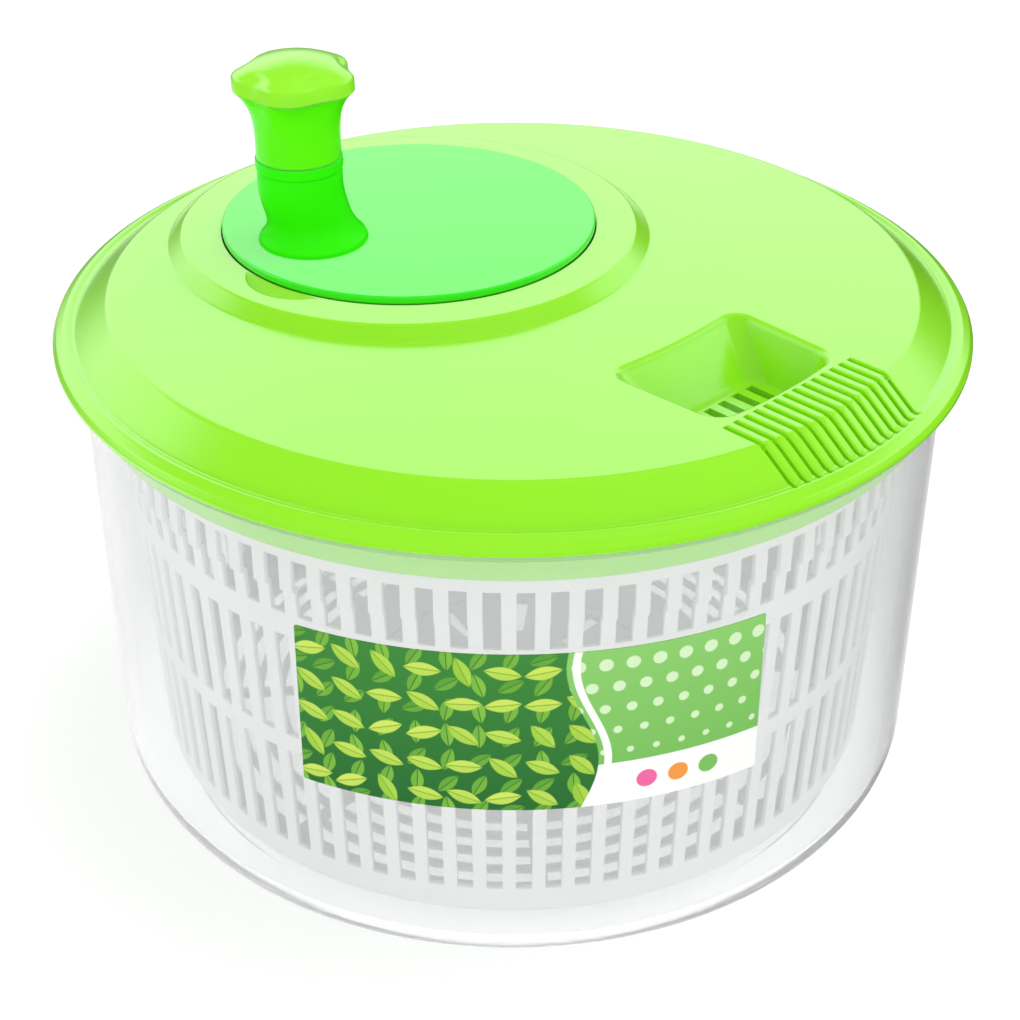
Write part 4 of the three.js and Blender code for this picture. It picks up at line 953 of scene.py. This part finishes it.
# The finger notch is a scoop beside the disc, whose floor falls away from the disc.
NOTCH_RADIUS = 15
NOTCH_REACH = 6.3
NOTCH_DIRECTION = math.radians(182.5)
NOTCH_FALL = math.radians(15.5)
NOTCH_HEIGHT = 6
notch_mesh = bmesh.new()
bmesh.ops.create_cone(
    notch_mesh,
    cap_ends=True,
    segments=72,
    radius1=NOTCH_RADIUS,
    radius2=NOTCH_RADIUS,
    depth=NOTCH_HEIGHT,
)
bmesh.ops.translate(notch_mesh, vec=(0, 0, NOTCH_HEIGHT / 2), verts=notch_mesh.verts)
rotate(notch_mesh, NOTCH_FALL, notch_mesh.verts, "Y")
notch_middle = WELL_RADIUS + NOTCH_REACH - NOTCH_RADIUS
floor_level = boss_top - 0.15 + (WELL_RADIUS - notch_middle) * math.tan(NOTCH_FALL)
bmesh.ops.translate(notch_mesh, vec=(notch_middle, 0, floor_level), verts=notch_mesh.verts)
rotate(notch_mesh, NOTCH_DIRECTION, notch_mesh.verts)
bmesh.ops.translate(notch_mesh, vec=(0, crank_y, 0), verts=notch_mesh.verts)
carve(boss, finished_mesh("finger_notch", notch_mesh))


def shaded_by_area(piece):
    """Lets a piece's large faces lead the shading of the rounded edges between them."""
    weights = piece.modifiers.new("weights", "WEIGHTED_NORMAL")
    weights.keep_sharp = True


lid = finished_mesh("lid_shell", reopened(lid, boss))
shaded_by_area(lid)
fit(lid, "lid_body", "lid", lime_plastic)


# ---------------------------------------------------------------------------- gear space
# Hidden under the lid: a pan that is screwed to the lid and carries two bushes, the ring gear and
# the pinion that turn in it, and the drive plate. All are plain mouldings or steel screws and
# washers, and need no finer shapes than the frame gives them.

gear_plastic = plastic(
    "gear_plastic", srgb(96, 205, 40), srgb(88, 198, 34), gloss=(0.4, 0.5)
)
screw_steel = plastic(
    "screw_steel",
    srgb(196, 198, 201),
    srgb(178, 181, 185),
    gloss=(0.25, 0.4),
    mottle=400,
    ripple=0.05,
    more={"Metallic": 1},
)

for material, names in (
    (white_plastic, ("gear_cover", "drive_plate")),
    (gear_plastic, ("crank_bush", "pinion_bush", "ring_gear", "pinion")),
    (screw_steel, [f"cover_screw_{number}" for number in range(1, 5)]),
    (screw_steel, [f"{part}_washer" for part in ("crank", "knob", "drive")]),
    (screw_steel, [f"{part}_screw" for part in ("crank", "knob", "drive")]),
):
    for name in names:
        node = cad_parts[name]
        node.data.materials.clear()
        node.data.materials.append(material)


# ---------------------------------------------------------------------------- crank disc
# A disc of mint green, slightly see-through plastic that turns in the housing. The knob's post is
# moulded on it with a flared foot, and a hub under it runs in the bush.

mint_plastic = plastic(
    "mint_plastic",
    srgb(52, 240, 22),
    srgb(44, 236, 18),
    gloss=(0.16, 0.22),
    more={"Coat Weight": 0.8, "Coat Roughness": 0.28},
)
post_plastic = plastic(
    "post_plastic",
    srgb(56, 243, 12),
    srgb(50, 240, 10),
    gloss=(0.2, 0.28),
    more={"Specular IOR Level": 0.06},
)

DISC_PROUD = 2  # of the disc's top above the housing
DISC_THICKNESS = 2.2
HUB_RADIUS = 8
HUB_BOTTOM = 129.6
JOURNAL_RADIUS = 4.9
JOURNAL_BOTTOM = 124.7
disc_top = boss_top + DISC_PROUD
disc_bottom = disc_top - DISC_THICKNESS
sleeve_low, sleeve_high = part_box("knob_sleeve")
cap_low, cap_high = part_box("knob_cap")
knob_x = (cap_low.x + cap_high.x) / 2 / MM
knob_y = (cap_low.y + cap_high.y) / 2 / MM
lean_way = Vector((-knob_x, crank_y - knob_y)).normalized()
post_top = sleeve_low.z / MM - 0.3
POST_LEAN = 3  # how far the post's foot stands nearer to the disc's middle than its top
POST_RADIUS = 11.3
POST_FOOT = 14.4
POST_FOOT_HEIGHT = 1.4
POST_FLARE = 7
SPIGOT_RADIUS = 6.2
spigot_top = sleeve_high.z / MM - 3.6


def smoothstep(value, low, high):
    """0 below low, 1 above high, and an even S-curve between them."""
    share = min(1, max(0, (value - low) / (high - low)))
    return share * share * (3 - 2 * share)


disc_mesh = bmesh.new()
disc_outline = [
    (0, disc_bottom, 0),
    (DISC_RADIUS, disc_bottom, 0.5),
    (DISC_RADIUS, disc_top, 0.7),
    (0, disc_top, 0),
]
turned(disc_mesh, rounded(disc_outline), centre=(0, crank_y))
post_height = post_top - disc_top
post_mesh = bmesh.new()
post_outline = [
    (0, disc_top - 1),
    (POST_FOOT + 0.5, disc_top - 0.6),
    (POST_FOOT + 0.4, disc_top + 0.02),
    (POST_FOOT + 0.1, disc_top + 0.12),
    (POST_FOOT, disc_top + 0.4),
    (POST_FOOT, disc_top + POST_FOOT_HEIGHT - 0.5),
    (POST_FOOT - 0.25, disc_top + POST_FOOT_HEIGHT),
    *[
        (
            POST_RADIUS + (POST_FOOT - 0.6 - POST_RADIUS) * (1 - share) ** 2.2,
            disc_top + POST_FOOT_HEIGHT + 0.2 + share * (POST_FLARE - 0.2),
        )
        for share in [k / 8 for k in range(9)]
    ],
    *[
        (POST_RADIUS, disc_top + share * post_height)
        for share in [0.4 + k * 0.04 for k in range(11)]
    ],
    (POST_RADIUS - 0.25, post_top - 3.2),
    (POST_RADIUS + 0.2, post_top - 2.7),
    (POST_RADIUS + 0.3, post_top - 1.6),
    (POST_RADIUS + 0.2, post_top - 0.1),
    (POST_RADIUS + 0.1, post_top),
    (SPIGOT_RADIUS, post_top),
    (SPIGOT_RADIUS, spigot_top),
    (0, spigot_top),
]
turned(post_mesh, post_outline, centre=(knob_x, knob_y), steps=96)
for face in post_mesh.faces:
    face.material_index = 1
for vert in post_mesh.verts:
    down = (post_top - vert.co.z) / post_height
    vert.co.xy += lean_way * POST_LEAN * smoothstep(down, 0.3, 0.95)
take_in(disc_mesh, post_mesh)
journal_outline = [
    (0, disc_bottom + 0.5),
    (HUB_RADIUS, disc_bottom + 0.5),
    (HUB_RADIUS, HUB_BOTTOM),
    (JOURNAL_RADIUS, HUB_BOTTOM),
    (JOURNAL_RADIUS, JOURNAL_BOTTOM),
    (0, JOURNAL_BOTTOM),
]
turned(disc_mesh, journal_outline, centre=(0, crank_y), steps=64)
disc = finished_mesh("crank_disc_moulding", disc_mesh)
shaded_by_area(disc)
fit(disc, "crank_body", "crank_disc", mint_plastic)
disc.data.materials.append(post_plastic)
# The lid mirrors neither the disc nor the knob.
disc.visible_glossy = False


# ---------------------------------------------------------------------------- knob
# The sleeve turns on the post, and the cap is pressed into its top. Both share an outline of five
# lobes with finger scallops between them, which fades out down the sleeve.

knob_plastic = plastic(
    "knob_plastic",
    srgb(100, 244, 18),
    srgb(92, 241, 14),
    gloss=(0.16, 0.24),
    more={"Specular IOR Level": 0.18},
)
cap_plastic = plastic(
    "cap_plastic",
    srgb(151, 241, 32),
    srgb(146, 239, 28),
    gloss=(0.24, 0.32),
    more={"Coat Weight": 0.8, "Coat Roughness": 0.2},
)
LOBES = 5
LOBE_ANGLE = math.radians(215.6)
SCALLOP = 1.7
CAP_BITE = 1.1  # how much deeper the scallops are in the cap
CAP_RADIUS = 16.3
CAP_EDGE = 3.6  # height of the cap's upright edge
SLEEVE_RADIUS = 11.2
SLEEVE_BORE = 6.5
RECESS_RADIUS = 10.5
RECESS_DEPTH = 3.9
RING_INSIDE = 8.6
RING_OUTSIDE = 10.1
RING_DEPTH = 1.9  # the ring under the cap, which is pressed into the sleeve's recess
sleeve_bottom = sleeve_low.z / MM
sleeve_top = sleeve_high.z / MM
cap_bottom = sleeve_top + 0.3
cap_top = cap_high.z / MM


def scalloped(bm):
    """Draws the outline in between the lobes, more towards the top and the edge."""
    for vert in bm.verts:
        off = vert.co.xy - Vector((knob_x, knob_y))
        radius = off.length
        if radius < 1e-6:
            continue
        rise = smoothstep(vert.co.z, sleeve_bottom + 3, sleeve_top)
        outer = smoothstep(radius, SLEEVE_RADIUS - 1, CAP_RADIUS - 1)
        between = (1 - math.cos(LOBES * (math.atan2(off.y, off.x) - LOBE_ANGLE))) / 2
        bite = SCALLOP * rise + CAP_BITE * smoothstep(vert.co.z, cap_bottom + 0.4, cap_bottom + 4.4)
        dip = bite * outer * between**1.4
        vert.co.xy = Vector((knob_x, knob_y)) + off * (radius - dip) / radius


sleeve_mesh = bmesh.new()
sleeve_height = sleeve_top - sleeve_bottom
flare = CAP_RADIUS - 0.4 - SLEEVE_RADIUS
sleeve_outline = [
    (SLEEVE_BORE, sleeve_bottom),
    (SLEEVE_RADIUS - 0.1, sleeve_bottom),
    (SLEEVE_RADIUS, sleeve_bottom + 0.1),
    *[
        (SLEEVE_RADIUS + flare * share**4, sleeve_bottom + share * sleeve_height)
        for share in [k / 24 for k in range(2, 25)]
    ],
    (RECESS_RADIUS, sleeve_top),
    (RECESS_RADIUS, sleeve_top - RECESS_DEPTH),
    (SLEEVE_BORE, sleeve_top - RECESS_DEPTH),
]
turned(sleeve_mesh, sleeve_outline, centre=(knob_x, knob_y), steps=128)
scalloped(sleeve_mesh)
sleeve = finished_mesh("knob_sleeve_moulding", sleeve_mesh)
fit(sleeve, "knob_body", "knob_sleeve", knob_plastic)
sleeve.visible_glossy = False
for inside in ("knob_screw", "knob_washer"):
    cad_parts[inside].visible_glossy = False

cap_mesh = bmesh.new()
edge_top = cap_bottom + CAP_EDGE
cap_outline = [
    (0, cap_bottom),
    (RING_INSIDE, cap_bottom),
    (RING_INSIDE, cap_bottom - RING_DEPTH),
    (RING_OUTSIDE, cap_bottom - RING_DEPTH),
    (RING_OUTSIDE, cap_bottom),
    (CAP_RADIUS - 0.1, cap_bottom),
    (CAP_RADIUS, cap_bottom + 0.1),
    (CAP_RADIUS, edge_top - 0.5),
    (CAP_RADIUS - 0.12, edge_top),
    (CAP_RADIUS - 0.45, edge_top + 0.45),
    *[
        ((CAP_RADIUS - 0.9) * share, edge_top + 0.75 + (cap_top - edge_top - 0.75) * (1 - share**2))
        for share in [1 - k / 16 for k in range(16)]
    ],
    (0, cap_top),
]
turned(cap_mesh, cap_outline, centre=(knob_x, knob_y), steps=128)
scalloped(cap_mesh)
cap = finished_mesh("knob_cap_moulding", cap_mesh)
fit(cap, "knob_body", "knob_cap", cap_plastic)
cap.visible_glossy = False


# ---------------------------------------------------------------------------- stage
# A plain white floor with a painted pool of light under the bowl, a white surround, soft lamps above,
# on the left and low in front, and a camera that looks down on the lid.

FLOOR_RADIUS = 6000
FLOOR_GAP = 0.3
FLOOR_GLOW = 0.15
# The pool of light under the bowl is painted light, glowing in the floor's emission.
PAINTED_POOL_RADII = (0.1, 0.15)  # metres over which the pool of light under the bowl fades

floor_mesh = bmesh.new()
bmesh.ops.create_circle(floor_mesh, cap_ends=True, segments=96, radius=FLOOR_RADIUS)
bmesh.ops.translate(floor_mesh, vec=(0, 0, -FLOOR_GAP), verts=floor_mesh.verts)
floor = finished_mesh("floor", floor_mesh)
floor_paint = bpy.data.materials.new("floor_paint")
floor_paint.use_nodes = True
painted = floor_paint.node_tree
nodes, links = painted.nodes, painted.links
floor_surface = nodes["Principled BSDF"]
set_inputs(floor_surface, {"Base Color": (0.9, 0.9, 0.9, 1), "Roughness": 0.8})
set_inputs(floor_surface, {"Specular IOR Level": 0, "Emission Color": (1, 1, 1, 1)})
# Seen through the clear bowl, the floor under it glows: a painted pool of light where the basket and lid
# shade it.
floor_rays = nodes.new("ShaderNodeLightPath")
floor_place = nodes.new("ShaderNodeTexCoord")
from_middle = nodes.new("ShaderNodeVectorMath")
from_middle.operation = "LENGTH"
links.new(floor_place.outputs["Object"], from_middle.inputs[0])
painted_light_pool = ramp(painted, from_middle.outputs["Value"], *PAINTED_POOL_RADII, start=1, end=0.1)
even_glow_and_painted_pool = combine(painted, "MULTIPLY_ADD", floor_rays.outputs["Is Transmission Ray"], painted_light_pool, FLOOR_GLOW)
links.new(even_glow_and_painted_pool, floor_surface.inputs["Emission Strength"])
floor.data.materials.append(floor_paint)
floor.visible_glossy = False

world = bpy.data.worlds.new("studio")
world.use_nodes = True
bpy.context.scene.world = world
studio = world.node_tree
nodes, links = studio.nodes, studio.links
surround = nodes["Background"]
mirrored = nodes.new("ShaderNodeBackground")
set_inputs(surround, {"Color": (1, 1, 1, 1), "Strength": 1})
set_inputs(mirrored, {"Color": (1, 1, 1, 1)})
sky = nodes.new("ShaderNodeTexCoord").outputs["Generated"]
sky_parts = nodes.new("ShaderNodeSeparateXYZ")
links.new(sky, sky_parts.inputs["Vector"])
upward = sky_parts.outputs["Z"]


def share_along(direction):
    """How far a ray from the object goes along a level direction."""
    node = nodes.new("ShaderNodeVectorMath")
    node.operation = "DOT_PRODUCT"
    node.inputs[1].default_value = direction
    links.new(sky, node.inputs[0])
    return node.outputs["Value"]


# What the gloss mirrors: a bright band low in the sky on the far side of the object, a dim ground,
# a dark card low on the right, a slightly brighter left, and little overhead.
frontward = share_along((-0.759, -0.651, 0))
leftward = share_along((-0.651, 0.759, 0))
overhead = ramp(studio, upward, 0.57, 0.7, start=1.35, end=0.06)
horizon = ramp(studio, upward, -0.02, 0.34, start=0.1)
ground = ramp(studio, upward, -0.12, -0.4, end=0.7)
far_side = ramp(studio, frontward, -0.1, 0.35, start=1, end=0.08)
dark_card = ramp(studio, leftward, -0.5, -0.15, start=0.05)
above_card = ramp(studio, upward, 0.16, 0.36)
left_side = ramp(studio, leftward, 0, 0.5, start=1, end=1.15, smooth=False)
band = combine(studio, "MULTIPLY", combine(studio, "MAXIMUM", ground, horizon), far_side)
sides = combine(studio, "MULTIPLY", combine(studio, "MAXIMUM", dark_card, above_card), left_side)
strength = combine(studio, "MULTIPLY", combine(studio, "MULTIPLY", overhead, band), sides)
links.new(strength, mirrored.inputs["Strength"])
rays = nodes.new("ShaderNodeLightPath")
choice = nodes.new("ShaderNodeMixShader")
links.new(rays.outputs["Is Glossy Ray"], choice.inputs["Fac"])
links.new(surround.outputs["Background"], choice.inputs[1])
links.new(mirrored.outputs["Background"], choice.inputs[2])
links.new(choice.outputs["Shader"], nodes["World Output"].inputs["Surface"])


def lamp(name, place, target, size, power):
    """A round soft lamp at a place, aimed at a target, which no gloss mirrors."""
    light = bpy.data.lights.new(name, "AREA")
    light.shape = "DISK"
    light.size = size
    light.energy = power
    lamp_object = bpy.data.objects.new(name, light)
    lamp_object.location = place
    aim = Vector(target) - Vector(place)
    lamp_object.rotation_euler = aim.to_track_quat("-Z", "Y").to_euler()
    lamp_object.visible_glossy = False
    bpy.context.scene.collection.objects.link(lamp_object)


lamp("left_lamp", (-1.3, 0.2, 0.8), (0, 0, 0.1), 0.9, 0.4)
lamp("top_lamp", (0.4, -0.25, 1.4), (0, 0, 0.1), 1.2, 4.4)
lamp("front_lamp", (-1.2, -1.0, 0.12), (0, 0, 0.07), 1.2, 3.6)

CAMERA_DISTANCE = 0.5526
CAMERA_TURN = math.radians(-139.4)
CAMERA_RISE = math.radians(29.48)
CAMERA_TARGET = Vector((0, 0, 0.1))
view = bpy.data.cameras.new("camera")
view.sensor_width = 36
view.lens = 70.8
view.shift_x = -0.0028
view.shift_y = -0.1062
view.clip_end = 20
camera = bpy.data.objects.new("camera", view)
away = Vector(
    (
        math.cos(CAMERA_RISE) * math.cos(CAMERA_TURN),
        math.cos(CAMERA_RISE) * math.sin(CAMERA_TURN),
        math.sin(CAMERA_RISE),
    )
)
camera.location = CAMERA_TARGET + away * CAMERA_DISTANCE
camera.rotation_euler = (-away).to_track_quat("-Z", "Y").to_euler()
bpy.context.scene.collection.objects.link(camera)
bpy.context.scene.camera = camera
bpy.context.scene.view_settings.view_transform = "Standard"
